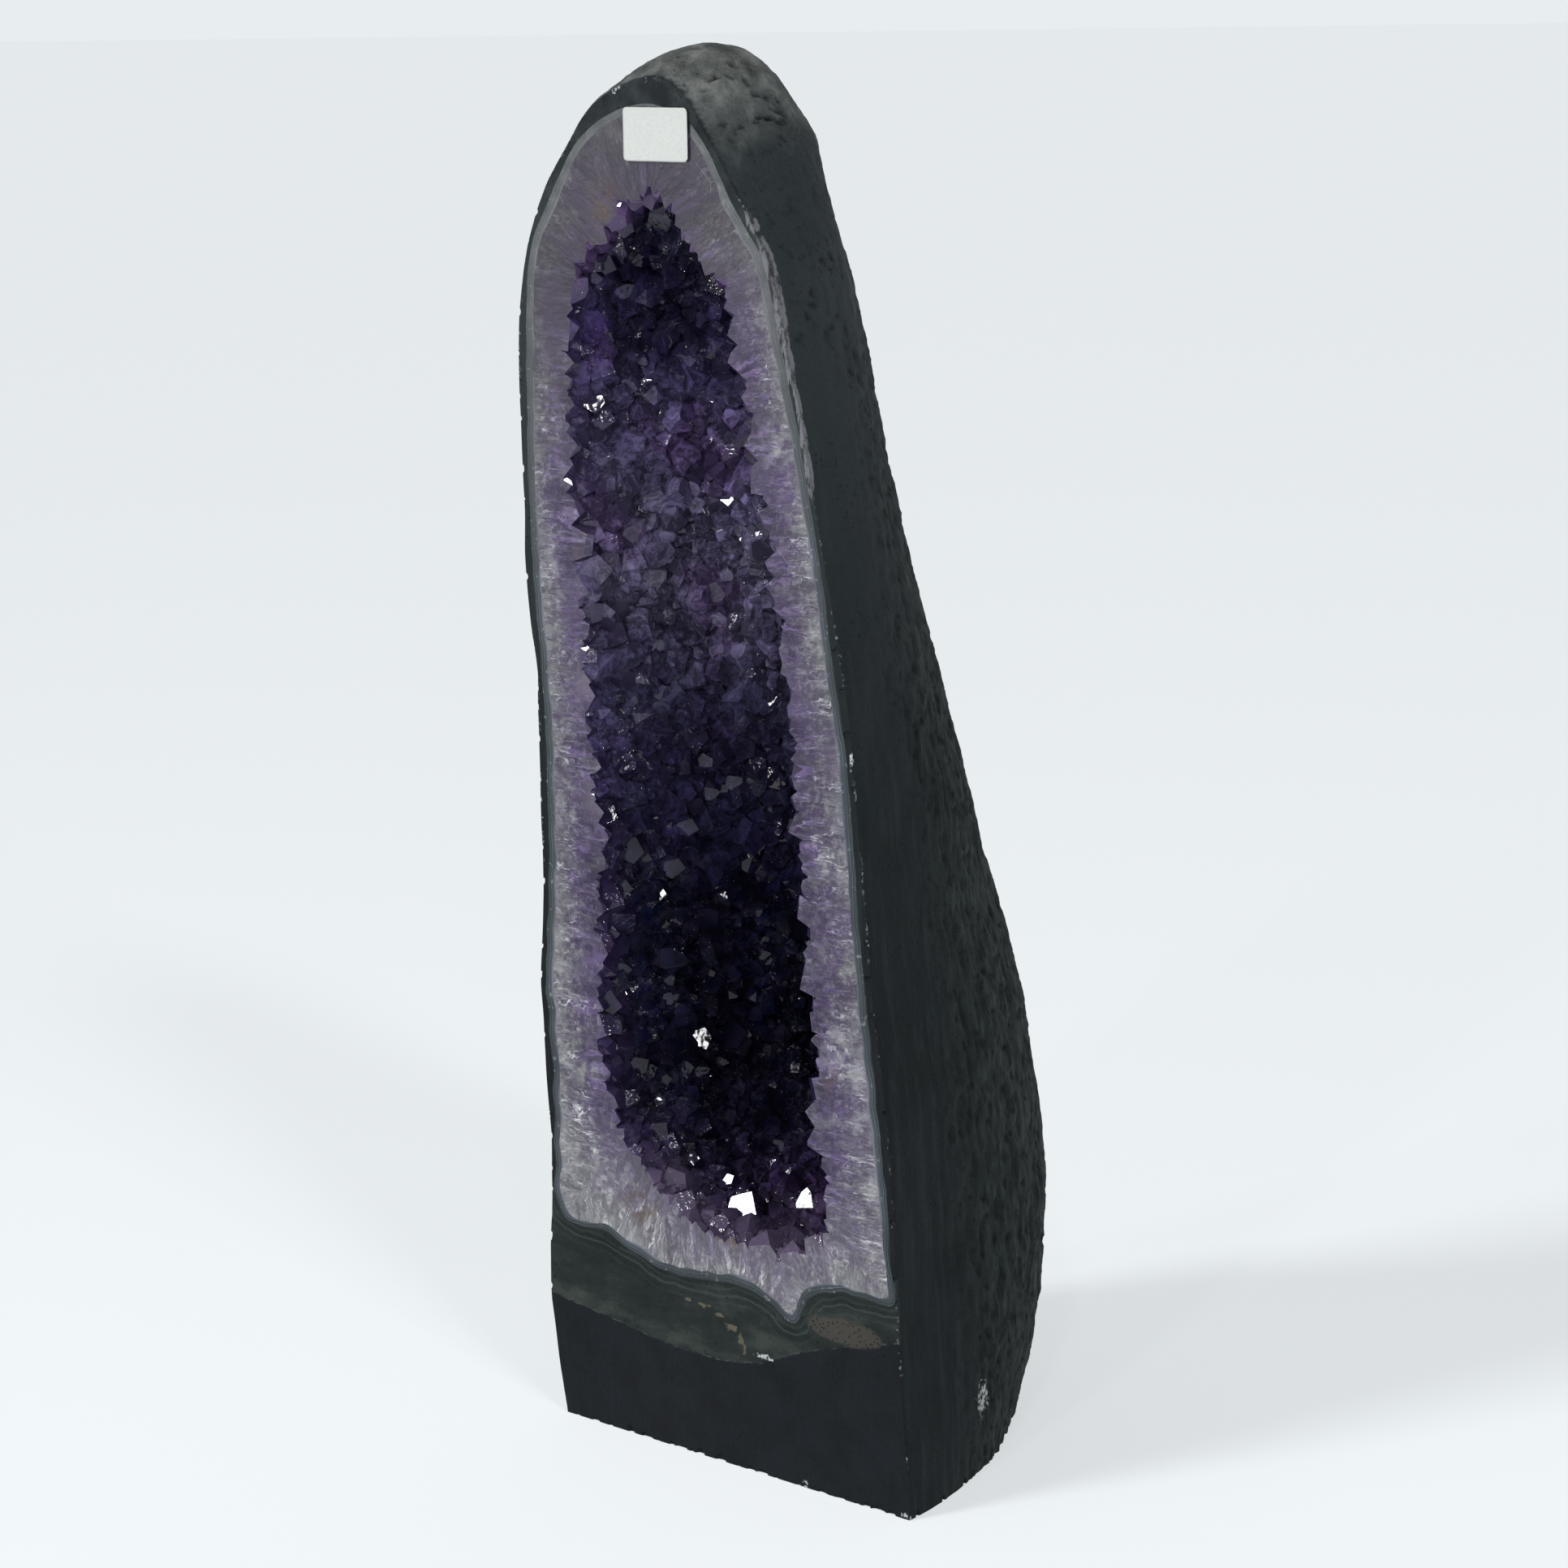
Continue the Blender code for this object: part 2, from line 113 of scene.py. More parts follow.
# The camera and the main light.
CAMERA_PLACE = Vector((0.8654, -1.1072, 0.5792))
KEY_PLACE = Vector((-1.2, -2.2, 2.4))
LIT_MIDDLE = Vector((0, FACE_Y, 0.28))  # what every light is aimed at
FLASH_PLACES = (  # where a large point mirrors the key light, as (x, z) in millimetres
    (-60, 444),
    (-38, 405),
    (-69, 409),
    (-54, 340),
    (-45, 192),
    (-60, 213),
    (-20, 300),
    (-51, 277),
    (-30, 236),
    (-5, 470),
)
FLASH_RADII = (3.4, 4.8)  # in millimetres
FLASH_SHARE = 0.030  # of the other points that mirror it too

helpers = []


# Meshes


def smooth_step(value, low, high):
    """0 below low, 1 above high and smooth between them."""
    t = min(max((value - low) / (high - low), 0), 1)
    return t * t * (3 - 2 * t)


def add_piece(name, mesh):
    obj = bpy.data.objects.new(name, mesh)
    bpy.context.scene.collection.objects.link(obj)
    return obj


def helper_from(name, bm):
    """An object that only shapes others. It is removed at the end."""
    bmesh.ops.recalc_face_normals(bm, faces=bm.faces)
    mesh = bpy.data.meshes.new(name)
    bm.to_mesh(mesh)
    bm.free()
    obj = add_piece(name, mesh)
    helpers.append(obj)
    return obj


def evaluated_mesh(obj):
    graph = bpy.context.evaluated_depsgraph_get()
    return bpy.data.meshes.new_from_object(obj.evaluated_get(graph))


def combined(body, steps):
    """The mesh of a body after some Boolean steps, each an operation with its tool."""
    for operation, tool in steps:
        modifier = body.modifiers.new(tool.name, "BOOLEAN")
        modifier.operation = operation
        modifier.object = tool
        modifier.solver = "MANIFOLD"
    mesh = evaluated_mesh(body)
    body.modifiers.clear()
    return mesh


def is_sawn(item):
    return all(abs(vert.co.y - FACE_Y) < WELD for vert in item.verts)


def sheets(node):
    """A CAD node's surface without its sawn front, as separate open sheets, the widest first."""
    bm = bmesh.new()
    bm.from_mesh(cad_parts[node].data)
    bmesh.ops.remove_doubles(bm, verts=bm.verts, dist=WELD)
    bmesh.ops.delete(bm, geom=[face for face in bm.faces if is_sawn(face)], context="FACES")
    found = []
    reached = set()
    for start in bm.verts:
        if start in reached:
            continue
        reached.add(start)
        island = []
        stack = [start]
        while stack:
            vert = stack.pop()
            island.append(vert)
            for edge in vert.link_edges:
                other = edge.other_vert(vert)
                if other not in reached:
                    reached.add(other)
                    stack.append(other)
        found.append(island)
    found.sort(key=lambda island: min(v.co.x for v in island) - max(v.co.x for v in island))
    parts = []
    for island in found:
        number = {vert: k for k, vert in enumerate(island)}
        faces = {face for vert in island for face in vert.link_faces}
        faces = sorted([number[v] for v in face.verts] for face in faces)
        parts.append(([vert.co.copy() for vert in island], faces))
    bm.free()
    return parts


def mesh_of(points, faces):
    bm = bmesh.new()
    verts = [bm.verts.new(point) for point in points]
    for face in faces:
        bm.faces.new([verts[k] for k in face])
    return bm


def open_edges(bm):
    return [edge for edge in bm.edges if edge.is_boundary]


def ordered_rim(bm):
    """The vertices of an open sheet's rim, in order."""
    neighbours = {}
    for edge in open_edges(bm):
        first, second = edge.verts
        neighbours.setdefault(first, []).append(second)
        neighbours.setdefault(second, []).append(first)
    start = min(neighbours, key=lambda vert: (vert.co.z, vert.co.x))
    loop = [start]
    before = None
    while True:
        onward = [vert for vert in neighbours[loop[-1]] if vert is not before]
        before = loop[-1]
        if onward[0] is start or len(loop) > len(neighbours):
            return loop
        loop.append(onward[0])


def rim_curve(before, start, end, after, t):
    """A point on the smooth curve through four neighbouring rim points, between the middle two."""
    return 0.5 * (
        2 * start
        + (end - before) * t
        + (2 * before - 5 * start + 4 * end - after) * t * t
        + (3 * start - before - 3 * end + after) * t**3
    )


def refine_rim(bm, wave):
    """Divides an open sheet's coarse rim finely, and makes it smooth and slightly wavy."""
    bmesh.ops.subdivide_edges(bm, edges=open_edges(bm), cuts=RIM_STEPS - 1)
    fine = ordered_rim(bm)
    coarse = [vert.co.copy() for vert in fine[::RIM_STEPS]]
    count = len(coarse)
    for number, vert in enumerate(fine):
        k, step = divmod(number, RIM_STEPS)
        neighbours = [coarse[(k + shift) % count] for shift in (-1, 0, 1, 2)]
        vert.co = rim_curve(*neighbours, step / RIM_STEPS)
    bmesh.ops.triangulate(bm, faces=[face for face in bm.faces if len(face.verts) > 4])
    for vert in {vert for edge in open_edges(bm) for vert in edge.verts}:
        low_down = smooth_step(0.26 - vert.co.z, 0, 0.10)
        push = noise.noise_vector(vert.co / RIM_WAVE_SIZE) * wave * (1 + 1.6 * low_down)
        vert.co += Vector((push.x, 0, push.z))
        vert.co.y = FACE_Y


def run_on(bm, way):
    """Extends an open body from its rim along a direction and closes it."""
    added = bmesh.ops.extrude_edge_only(bm, edges=open_edges(bm))["geom"]
    moved = [item for item in added if isinstance(item, bmesh.types.BMVert)]
    bmesh.ops.translate(bm, verts=moved, vec=way)
    bmesh.ops.holes_fill(bm, edges=open_edges(bm))


def plug(name, sheet, wave):
    """The solid that fills a bowl-shaped sheet and stands out in front of the sawn plane."""
    bm = mesh_of(*sheet)
    refine_rim(bm, wave)
    rim = [vert.co.copy() for vert in ordered_rim(bm)]
    run_on(bm, (0, -RUN_ON, 0))
    return helper_from(name, bm), rim


def lowered_top(sheet):
    """The sheet with its top pressed down, so that a crescent of stone shows above it."""
    points, faces = sheet
    lowered = []
    for point in points:
        over = max(point.z - CRESCENT_FROM, 0)
        lowered.append(Vector((point.x, point.y, point.z - over * CRESCENT_PRESS)))
    return lowered, faces


def box_helper(name, low, high):
    bm = bmesh.new()
    bmesh.ops.create_cube(bm, size=1)
    for vert in bm.verts:
        vert.co = [a + (b - a) * (c + 0.5) for a, b, c in zip(low, high, vert.co)]
    return helper_from(name, bm)


def refill_sawn_front(bm, spacing):
    """Replaces a body's flat sawn front with an even field of small triangles on the same rims."""
    bmesh.ops.delete(bm, geom=[face for face in bm.faces if is_sawn(face)], context="FACES")
    bm.verts.index_update()
    rim = open_edges(bm)
    verts = sorted({vert for edge in rim for vert in edge.verts}, key=lambda v: v.index)
    number = {vert: k for k, vert in enumerate(verts)}
    flat = [(vert.co.x, vert.co.z) for vert in verts]
    pairs = [(number[edge.verts[0]], number[edge.verts[1]]) for edge in rim]
    segments = [(flat[a], flat[b]) for a, b in pairs]
    tree = KDTree(len(flat))
    for k, (x, z) in enumerate(flat):
        tree.insert((x, 0, z), k)
    tree.balance()
    low, high = np.min(flat, axis=0), np.max(flat, axis=0)
    picker = random.Random(3)
    field = []
    row_height = spacing * math.sin(math.radians(60))
    for row in range(int((high[1] - low[1]) / row_height) + 1):
        for column in range(int((high[0] - low[0]) / spacing) + 1):
            x = low[0] + (column + 0.5 * (row % 2) + picker.uniform(-0.2, 0.2)) * spacing
            z = low[1] + (row + picker.uniform(-0.2, 0.2)) * row_height
            field.append((x, z))
    field = np.array(field)[inside_segments(np.array(field), segments)]
    field = [p for p in field.tolist() if tree.find((p[0], 0, p[1]))[2] > 0.5 * spacing]
    points = [Vector(p) for p in flat + field]
    made, _, triangles, origins, _, _ = geometry.delaunay_2d_cdt(points, pairs, [], 0, 1e-9, True)
    centres = np.array([sum((made[k] for k in face), Vector((0, 0))) / 3 for face in triangles])
    at = {}  # the body's vertex for each made point that has one
    for k, sources in enumerate(origins):
        known = [source for source in sources if source < len(verts)]
        if known:
            at[k] = verts[known[0]]
    for face, kept in zip(triangles, inside_segments(centres, segments)):
        if not kept:
            continue
        for k in face:
            if k not in at:
                at[k] = bm.verts.new((made[k].x, FACE_Y, made[k].y))
        corners = [at[k] for k in face]
        if len(set(corners)) == 3 and not bm.faces.get(corners):
            bm.faces.new(corners)


def refill_mesh(mesh, spacing):
    bm = bmesh.new()
    bm.from_mesh(mesh)
    refill_sawn_front(bm, spacing)
    bmesh.ops.recalc_face_normals(bm, faces=bm.faces)
    bm.to_mesh(mesh)
    bm.free()


def inside_segments(points, segments):
    """For each (x, z) point, whether an even-odd region bounded by these segments holds it."""
    inside = np.zeros(len(points), bool)
    order = np.argsort(points[:, 1])
    heights = points[order, 1]
    for (x0, z0), (x1, z1) in segments:
        if z0 == z1:
            continue
        first, last = np.searchsorted(heights, (min(z0, z1), max(z0, z1)))
        near = order[first:last]
        at = x0 + (points[near, 1] - z0) * (x1 - x0) / (z1 - z0)
        inside[near] ^= at > points[near, 0]
    return inside


# The surfaces that the layers are cut from


SHELL_OUTSIDE, POCKET = sheets("basalt_shell")[:2]
LINING_BACK, CAVITY = sheets("quartz_lining")[:2]
pocket_plug, pocket_rim = plug("pocket_plug", lowered_top(POCKET), RIM_WAVE)
lining_plug, _ = plug("lining_plug", lowered_top(LINING_BACK), 1.6 * RIM_WAVE)
cavity_plug, cavity_rim = plug("cavity_plug", CAVITY, 0.0)
_, outer_rim = plug("outer_plug", SHELL_OUTSIDE, 0.0)  # only its rim is used
front_cutter = box_helper("front_cutter", (-0.2, FACE_Y - 0.1, -0.1), (0.2, FACE_Y, 0.7))


# The stone


def stone_block():
    """The stone's outside as one closed body that runs on past the sawn front and the base."""
    bm = mesh_of(*SHELL_OUTSIDE)
    run_on(bm, (0, -RUN_ON, 0))
    base = [face for face in bm.faces if all(vert.co.z < WELD for vert in face.verts)]
    bmesh.ops.delete(bm, geom=base, context="FACES")
    run_on(bm, (0, 0, -RUN_ON))
    return helper_from("stone_block", bm)


def ridge(value):
    return 1 - abs(value)


def bark(point):
    """Long upright ridges and hollows like bark, from -1 to 1."""
    twist = noise.noise_vector(point / (16 * MM)) * 0.6
    coarse = Vector((point.x / (8 * MM), point.y / (8 * MM), point.z / (25 * MM))) + twist
    finer = Vector((point.x / (3.8 * MM), point.y / (3.8 * MM), point.z / (10 * MM))) + twist
    return 1.6 * (ridge(noise.noise(coarse)) - 0.75) + 1.6 * (ridge(noise.noise(finer)) - 0.75)


def crags(point):
    """Sharp-edged hollows that come in clusters, from -1 to 0."""
    cluster = smooth_step(noise.noise(point / (34 * MM) + Vector((3, 0, 1))), 0.05, 0.35)
    crown = smooth_step(CROWN_REACH - (point - CRACKED_CROWN).length, 0, CROWN_REACH / 2)
    bent = point / (13 * MM) + noise.noise_vector(point / (5 * MM)) * 0.35
    broken = smooth_step(noise.noise(point / (5 * MM) + Vector((0, 5, 2))), -0.15, 0.15)
    return -max(0.8 * cluster, crown) * broken * smooth_step(ridge(noise.noise(bent)), 0.86, 0.98)


def stone_relief(point):
    """Height of the stone's surface over its smooth shape."""
    depth = point.y - FACE_Y
    back = smooth_step(depth + 22 * MM * noise.noise(point / (45 * MM)), 18 * MM, 62 * MM)
    top = smooth_step(point.z + 0.04 * noise.noise(point / (40 * MM)), 0.42, 0.52)
    near_edge = smooth_step(depth, 0, 10 * MM)
    lumps = noise.noise(point / (24 * MM)) * 0.9 * MM
    knobs = noise.noise(point / (8 * MM) + Vector((7, 0, 0))) * 0.35 * MM
    pit = -1.1 * MM * smooth_step(noise.noise(point / (4.4 * MM) + Vector((0, 9, 0))), 0.38, 0.55)
    fine = noise.noise(point / (2.6 * MM)) * 0.20 * MM
    rough = 0.10 + 0.90 * max(back, 0.75 * top)
    pit *= 0.8 - 0.6 * top
    ridges = 0.95 * MM * bark(point) * (1 - 0.5 * top)
    relief = knobs * (0.4 + 0.6 * rough) + rough * (ridges + pit + fine)
    return lumps + near_edge * (relief + max(top, 0.35 * back) * 2.3 * MM * crags(point))


def stone_body():
    """The dense, rough stone before it is sawn."""
    block = stone_block()
    remesh = block.modifiers.new("even", "REMESH")
    remesh.mode = "VOXEL"
    remesh.voxel_size = ROCK_VOXEL
    smooth = block.modifiers.new("soften", "SMOOTH")
    smooth.factor = 0.5
    smooth.iterations = ROCK_SMOOTHING
    mesh = evaluated_mesh(block)
    normals = [vert.normal.copy() for vert in mesh.vertices]
    reliefs = [stone_relief(vert.co) for vert in mesh.vertices]
    for vert, normal, relief in zip(mesh.vertices, normals, reliefs):
        vert.co += normal * relief
    body = add_piece("stone_body", mesh)
    helpers.append(body)
    return body


def paint_height(x):
    places, heights = zip(*FOOT_BORDER)
    return float(np.interp(x, places, heights))


def foot_relief(x, z):
    """How far the stone's sawn front lies behind the flat plane."""
    bare = min(max((z - paint_height(x)) / (3 * MM), 0), 1)
    point = Vector((x, 0, z))
    brushed = 0.5 + 0.5 * noise.noise(Vector((x / (3 * MM), 0, z / (14 * MM))))
    grain = 0.5 + 0.5 * noise.noise(point / (3.5 * MM))
    broken = max(noise.noise(point / (7 * MM)) - 0.1, 0)
    painted = 0.16 * MM * brushed + 0.12 * MM * grain
    return painted * (1 - bare) + bare * (0.10 * MM * grain + 0.5 * MM * broken)


def foot_cutter():
    """A block in front of the sawn plane whose back is as rough as the stone's foot."""
    heights = list(np.arange(-0.012, 0.100, FOOT_CELL)) + list(np.linspace(0.105, 0.60, 12))
    widths = list(np.arange(-0.112, 0.112, FOOT_CELL))
    bm = bmesh.new()
    rows = []
    for z in heights:
        fade = min(max((FOOT_TOP - z) / (8 * MM), 0), 1)
        back = [bm.verts.new((x, FACE_Y + foot_relief(x, z) * fade, z)) for x in widths]
        rows.append(back)
    for lower, upper in zip(rows, rows[1:]):
        for k in range(len(widths) - 1):
            bm.faces.new((lower[k], lower[k + 1], upper[k + 1], upper[k]))
    run_on(bm, (0, -0.06, 0))
    return helper_from("foot_cutter", bm)


def chips():
    """Small rough blobs along the sawn edges, each of which knocks a chip off."""
    picker = random.Random(21)
    bm = bmesh.new()
    places = []
    x, right_end = CHIPPED_FOOT
    while x < right_end:
        places.append((Vector((x, FACE_Y, 0)), picker.uniform(0.7, 2.5) * MM))
        x += picker.uniform(4, 13) * MM
    for point in SHELL_OUTSIDE[0]:
        if point.z < WELD and point.y > FACE_Y + 4 * MM:
            shift = Vector((picker.gauss(0, 2), picker.gauss(0, 2), 0)) * MM
            places.append((point + shift, picker.uniform(1.2, 4.2) * MM))
    z, top = CHIPPED_SIDES
    while z < top:
        for corner in outer_edge_at(z):
            if picker.random() < 0.75:
                places.append((Vector((corner, FACE_Y, z)), picker.uniform(0.7, 1.7) * MM))
        z += picker.uniform(7, 20) * MM
    for centre, radius in places:
        blob = bmesh.ops.create_icosphere(bm, subdivisions=2, radius=radius)["verts"]
        stretch = Vector((picker.uniform(0.8, 1.9), 0.6, picker.uniform(0.7, 1.5)))
        for vert in blob:
            swell = 1 + 0.45 * noise.noise(vert.co / radius + centre / MM)
            vert.co = centre + Vector([a * b for a, b in zip(vert.co, stretch)]) * swell
    return helper_from("chips", bm)


def outer_edge_at(z):
    """The left and right ends of the sawn front at a height."""
    rim = [point for point in SHELL_OUTSIDE[0] if abs(point.y - FACE_Y) < WELD]
    near = [point.x for point in rim if abs(point.z - z) < 9 * MM]
    return (min(near), max(near)) if near else ()


# Node materials


def linear(colour):
    """A linear colour from the usual six-digit form. Three numbers stay as they are."""
    if not isinstance(colour, str):
        return tuple(colour)
    found = []
    for k in (0, 2, 4):
        value = int(colour[k : k + 2], 16) / 255
        found.append(value / 12.92 if value <= 0.04045 else ((value + 0.055) / 1.055) ** 2.4)
    return tuple(found)


class Value:
    """A number that a node gives. Arithmetic on it makes math nodes."""

    def __init__(self, look, socket):
        self.look = look
        self.socket = socket

    def __add__(self, other):
        return self.look.math("ADD", self, other)

    def __sub__(self, other):
        return self.look.math("SUBTRACT", self, other)

    def __rsub__(self, other):
        return self.look.math("SUBTRACT", other, self)

    def __mul__(self, other):
        return self.look.math("MULTIPLY", self, other)

    def __truediv__(self, other):
        return self.look.math("DIVIDE", self, other)

    def __abs__(self):
        return self.look.math("ABSOLUTE", self)

    __radd__ = __add__
    __rmul__ = __mul__


class Looks:
    """A Principled material with short calls for the nodes that feed it."""

    def __init__(self, name):
        self.material = bpy.data.materials.new(name)
        self.material.use_nodes = True
        self.tree = self.material.node_tree
        self.shader = self.tree.nodes["Principled BSDF"]
        self.place = self.add("ShaderNodeTexCoord").outputs["Object"]
        self.colour = None  # the base colour so far

    def add(self, kind, **settings):
        made = self.tree.nodes.new(kind)
        for name, value in settings.items():
            setattr(made, name, value)
        return made

    def feed(self, socket, value):
        """Links a node to a socket, or sets the socket to a number, a vector or a colour."""
        if isinstance(value, Value):
            value = value.socket
        if isinstance(value, bpy.types.NodeSocket):
            self.tree.links.new(value, socket)
        elif socket.type == "RGBA":
            socket.default_value = (*linear(value), 1.0)
        else:
            socket.default_value = value

    def math(self, operation, first, second=0.0):
        made = self.add("ShaderNodeMath", operation=operation)
        self.feed(made.inputs[0], first)
        self.feed(made.inputs[1], second)
        return Value(self, made.outputs[0])

    def stretched(self, scale, vector=None):
        made = self.add("ShaderNodeMapping")
        self.feed(made.inputs["Vector"], vector or self.place)
        made.inputs["Scale"].default_value = scale
        return made.outputs[0]

    def noise(self, scale, vector=None, detail=3.0, roughness=0.5, distortion=0.0):
        made = self.add("ShaderNodeTexNoise")
        self.feed(made.inputs["Vector"], vector or self.place)
        made.inputs["Scale"].default_value = scale
        made.inputs["Detail"].default_value = detail
        made.inputs["Roughness"].default_value = roughness
        made.inputs["Distortion"].default_value = distortion
        return Value(self, made.outputs[0])

    def cells(self, scale, vector=None, feature="F1"):
        made = self.add("ShaderNodeTexVoronoi", feature=feature)
        self.feed(made.inputs["Vector"], vector or self.place)
        made.inputs["Scale"].default_value = scale
        return Value(self, made.outputs["Distance"])

    def warped(self, scale, reach):
        """The place, pushed about by up to reach, so that a pattern loses its regular shapes."""
        made = self.add("ShaderNodeTexNoise")
        self.feed(made.inputs["Vector"], self.place)
        made.inputs["Scale"].default_value = scale
        moved = self.add("ShaderNodeVectorMath", operation="MULTIPLY_ADD")
        self.feed(moved.inputs[0], made.outputs["Color"])
        moved.inputs[1].default_value = (reach, reach, reach)
        self.feed(moved.inputs[2], self.place)
        return moved.outputs[0]

    def attribute(self, name):
        return Value(self, self.add("ShaderNodeAttribute", attribute_name=name).outputs["Fac"])

    def vector_attribute(self, name):
        return self.add("ShaderNodeAttribute", attribute_name=name).outputs["Vector"]

    def part(self, axis):
        made = self.add("ShaderNodeSeparateXYZ")
        self.feed(made.inputs[0], self.place)
        return Value(self, made.outputs[axis])

    def step(self, value, low, high):
        """0 below low, 1 above high and smooth between them."""
        made = self.add("ShaderNodeMapRange", interpolation_type="SMOOTHSTEP")
        self.feed(made.inputs["Value"], value)
        made.inputs["From Min"].default_value = low
        made.inputs["From Max"].default_value = high
        return Value(self, made.outputs["Result"])

    def drop(self, value, low, high):
        """1 below low, 0 above high and smooth between them."""
        return 1.0 - self.step(value, low, high)

    def ramp(self, value, *stops):
        """A colour for a value. Each stop is a place and a colour."""
        made = self.add("ShaderNodeValToRGB")
        self.feed(made.inputs[0], value)
        elements = made.color_ramp.elements
        while len(elements) < len(stops):
            elements.new(0.5)
        for element, (place, colour) in zip(elements, stops):
            element.position = place
            element.color = (*linear(colour), 1.0)
        return made.outputs["Color"]

    def mix(self, factor, first, second, blend="MIX"):
        made = self.add("ShaderNodeMix", data_type="RGBA", blend_type=blend)
        self.feed(made.inputs["Factor"], factor)
        self.feed(made.inputs["A"], first)
        self.feed(made.inputs["B"], second)
        return made.outputs["Result"]

    def coat(self, share, colour):
        """Lays a share of a colour over the colour so far."""
        self.colour = self.mix(share, self.colour, colour)

    def set(self, name, value):
        self.feed(self.shader.inputs[name], value)

    def finish(self, roughness, specular):
        self.set("Base Color", self.colour)
        self.set("Roughness", roughness)
        self.set("Specular IOR Level", specular)

    def bump(self, height, strength, distance):
        made = self.add("ShaderNodeBump")
        self.feed(made.inputs["Height"], height)
        made.inputs["Strength"].default_value = strength
        made.inputs["Distance"].default_value = distance
        self.set("Normal", made.outputs["Normal"])


# The stone's material


def basalt_looks():
    """Painted stone: brushed near the front, mottled behind with painted greenish highlights, grey on the
    dome and bare low on the front.
    """
    look = Looks("painted_basalt")
    tone = look.noise(22, detail=4, roughness=0.6)
    depth = look.part("Y") - FACE_Y
    streaks = look.noise(210, look.stretched((1.0, 1.0, 0.06)), detail=5, roughness=0.7)
    backward = look.step(depth, 35 * MM, 80 * MM)
    look.colour = look.ramp(tone, (0.30, "070c0f"), (0.52, "0c1417"), (0.78, "141d20"))
    look.coat(look.step(streaks, 0.46, 0.72) * look.drop(depth, 45 * MM, 85 * MM) * 0.7, "1f282b")
    # Behind the front: dark stone mottled with lighter greenish patches that are painted highlights.
    back_mottle_and_highlights = look.noise(300, look.stretched((1.0, 1.0, 0.22)), detail=6, roughness=0.7)
    look.coat(backward * 0.75, look.ramp(back_mottle_and_highlights, (0.36, "0a1011"), (0.50, "1a2424"), (0.66, "38433f")))
    # Lighter higher up the stone.
    look.coat(look.step(look.part("Z"), 0.24, 0.50) * 0.70, "2f3639")
    grey_dome(look, tone)
    colour_sawn_stone(look)
    mark_stone(look)
    pits = look.drop(look.cells(330, look.warped(180, 2.4 * MM)), 0.10, 0.30)
    pits *= look.step(look.noise(48, detail=3), 0.48, 0.60)
    look.coat(pits * 0.5, NEAR_BLACK)
    look.finish(roughness=0.58 + tone * 0.25, specular=0.16)
    bark_fibres = look.noise(260, look.stretched((1.0, 1.0, 0.25)), detail=6, roughness=0.75)
    relief = look.noise(620, detail=5, roughness=0.65) + streaks * 0.8 - pits * 0.4
    look.bump(relief + bark_fibres * (backward * 2.4), 1.0, 0.8 * MM)
    return look.material


def grey_dome(look, tone):
    """Grey stone on the dome, less of it on the right."""
    rightward = look.math("MINIMUM", (look.part("X") + 0.010) * -0.55, 0.0)
    height = look.part("Z") + tone * 0.09 + rightward
    dome_grey = look.ramp(
        look.noise(85, detail=5, roughness=0.7),
        (0.30, "323535"),
        (0.50, "595c5b"),
        (0.72, "7f827e"),
    )
    look.coat(look.step(height, 0.540, 0.590), dome_grey)


def colour_sawn_stone(look):
    """The stone's flat front: paint at the foot, bare stone over it and a broken crescent at the top."""
    paint = look.ramp(look.noise(60, detail=4), (0.3, "070b10"), (0.7, "0f151b"))
    look.coat(look.attribute("foot"), paint)
    crescent = look.ramp(look.noise(110, detail=4), (0.35, "171c1e"), (0.65, "2e3436"))
    look.coat(look.attribute("crescent"), crescent)
    bare_share = look.attribute("bare") + look.noise(190) * 0.5
    bare = look.ramp(
        look.noise(52, look.stretched((0.6, 1.0, 1.5)), detail=6, roughness=0.65),
        (0.34, "0f1616"),
        (0.52, "1c2423"),
        (0.74, "383f3b"),
    )
    look.coat(look.step(bare_share, 0.66, 0.86), bare)
    border = look.drop(abs(bare_share - 0.74), 0.02, 0.10)
    look.coat(border * look.step(look.noise(260, detail=5), 0.46, 0.62) * 0.6, "4c5552")
    outward = look.attribute("outward") + (look.noise(55, detail=5) - 0.5) * (8 * MM)
    for distance, share in HALO_LINES:
        look.coat(look.drop(abs(outward - distance), 0.1 * MM, 0.8 * MM) * share, "4a5655")


def mark_stone(look):
    """Pores, painted shade in the hollows, scuffs, chipped edges, stains and the strip that the saw tore."""
    porous = look.attribute("porous") + look.noise(150) * 0.5
    pored = look.mix(look.step(look.cells(620), 0.18, 0.34), "0e0d0c", "3d3a36")
    look.coat(look.step(porous, 0.62, 0.80) * 0.85, pored)
    # Painted shade: the stone's hollows darkened towards black.
    look.coat(look.attribute("hollow") * 0.6, NEAR_BLACK)
    speckle = look.noise(520, detail=5, roughness=0.7)
    scuff = look.attribute("scuff") * 0.80 + speckle * 2.4
    look.coat(look.step(scuff, 1.90, 2.06), "a9aeae")
    chipped = look.step(look.attribute("edge") + speckle * 2.2, 2.02, 2.18)
    look.coat(chipped * look.step(look.noise(38, detail=4), 0.47, 0.60) * 0.75, "858c8b")
    stain = look.attribute("stain") + look.noise(300, detail=5) * 1.9
    look.coat(look.step(stain, 1.52, 1.84) * 0.75, "5e5a4e")
    upright = look.noise(330, look.stretched((1.0, 1.0, 0.3)), detail=5, roughness=0.7)
    torn = look.mix(look.step(upright, 0.38, 0.56), "333439", "6b6c72")
    look.coat(look.step(look.attribute("ragged") + upright, 0.80, 1.00), torn)


# The agate's material


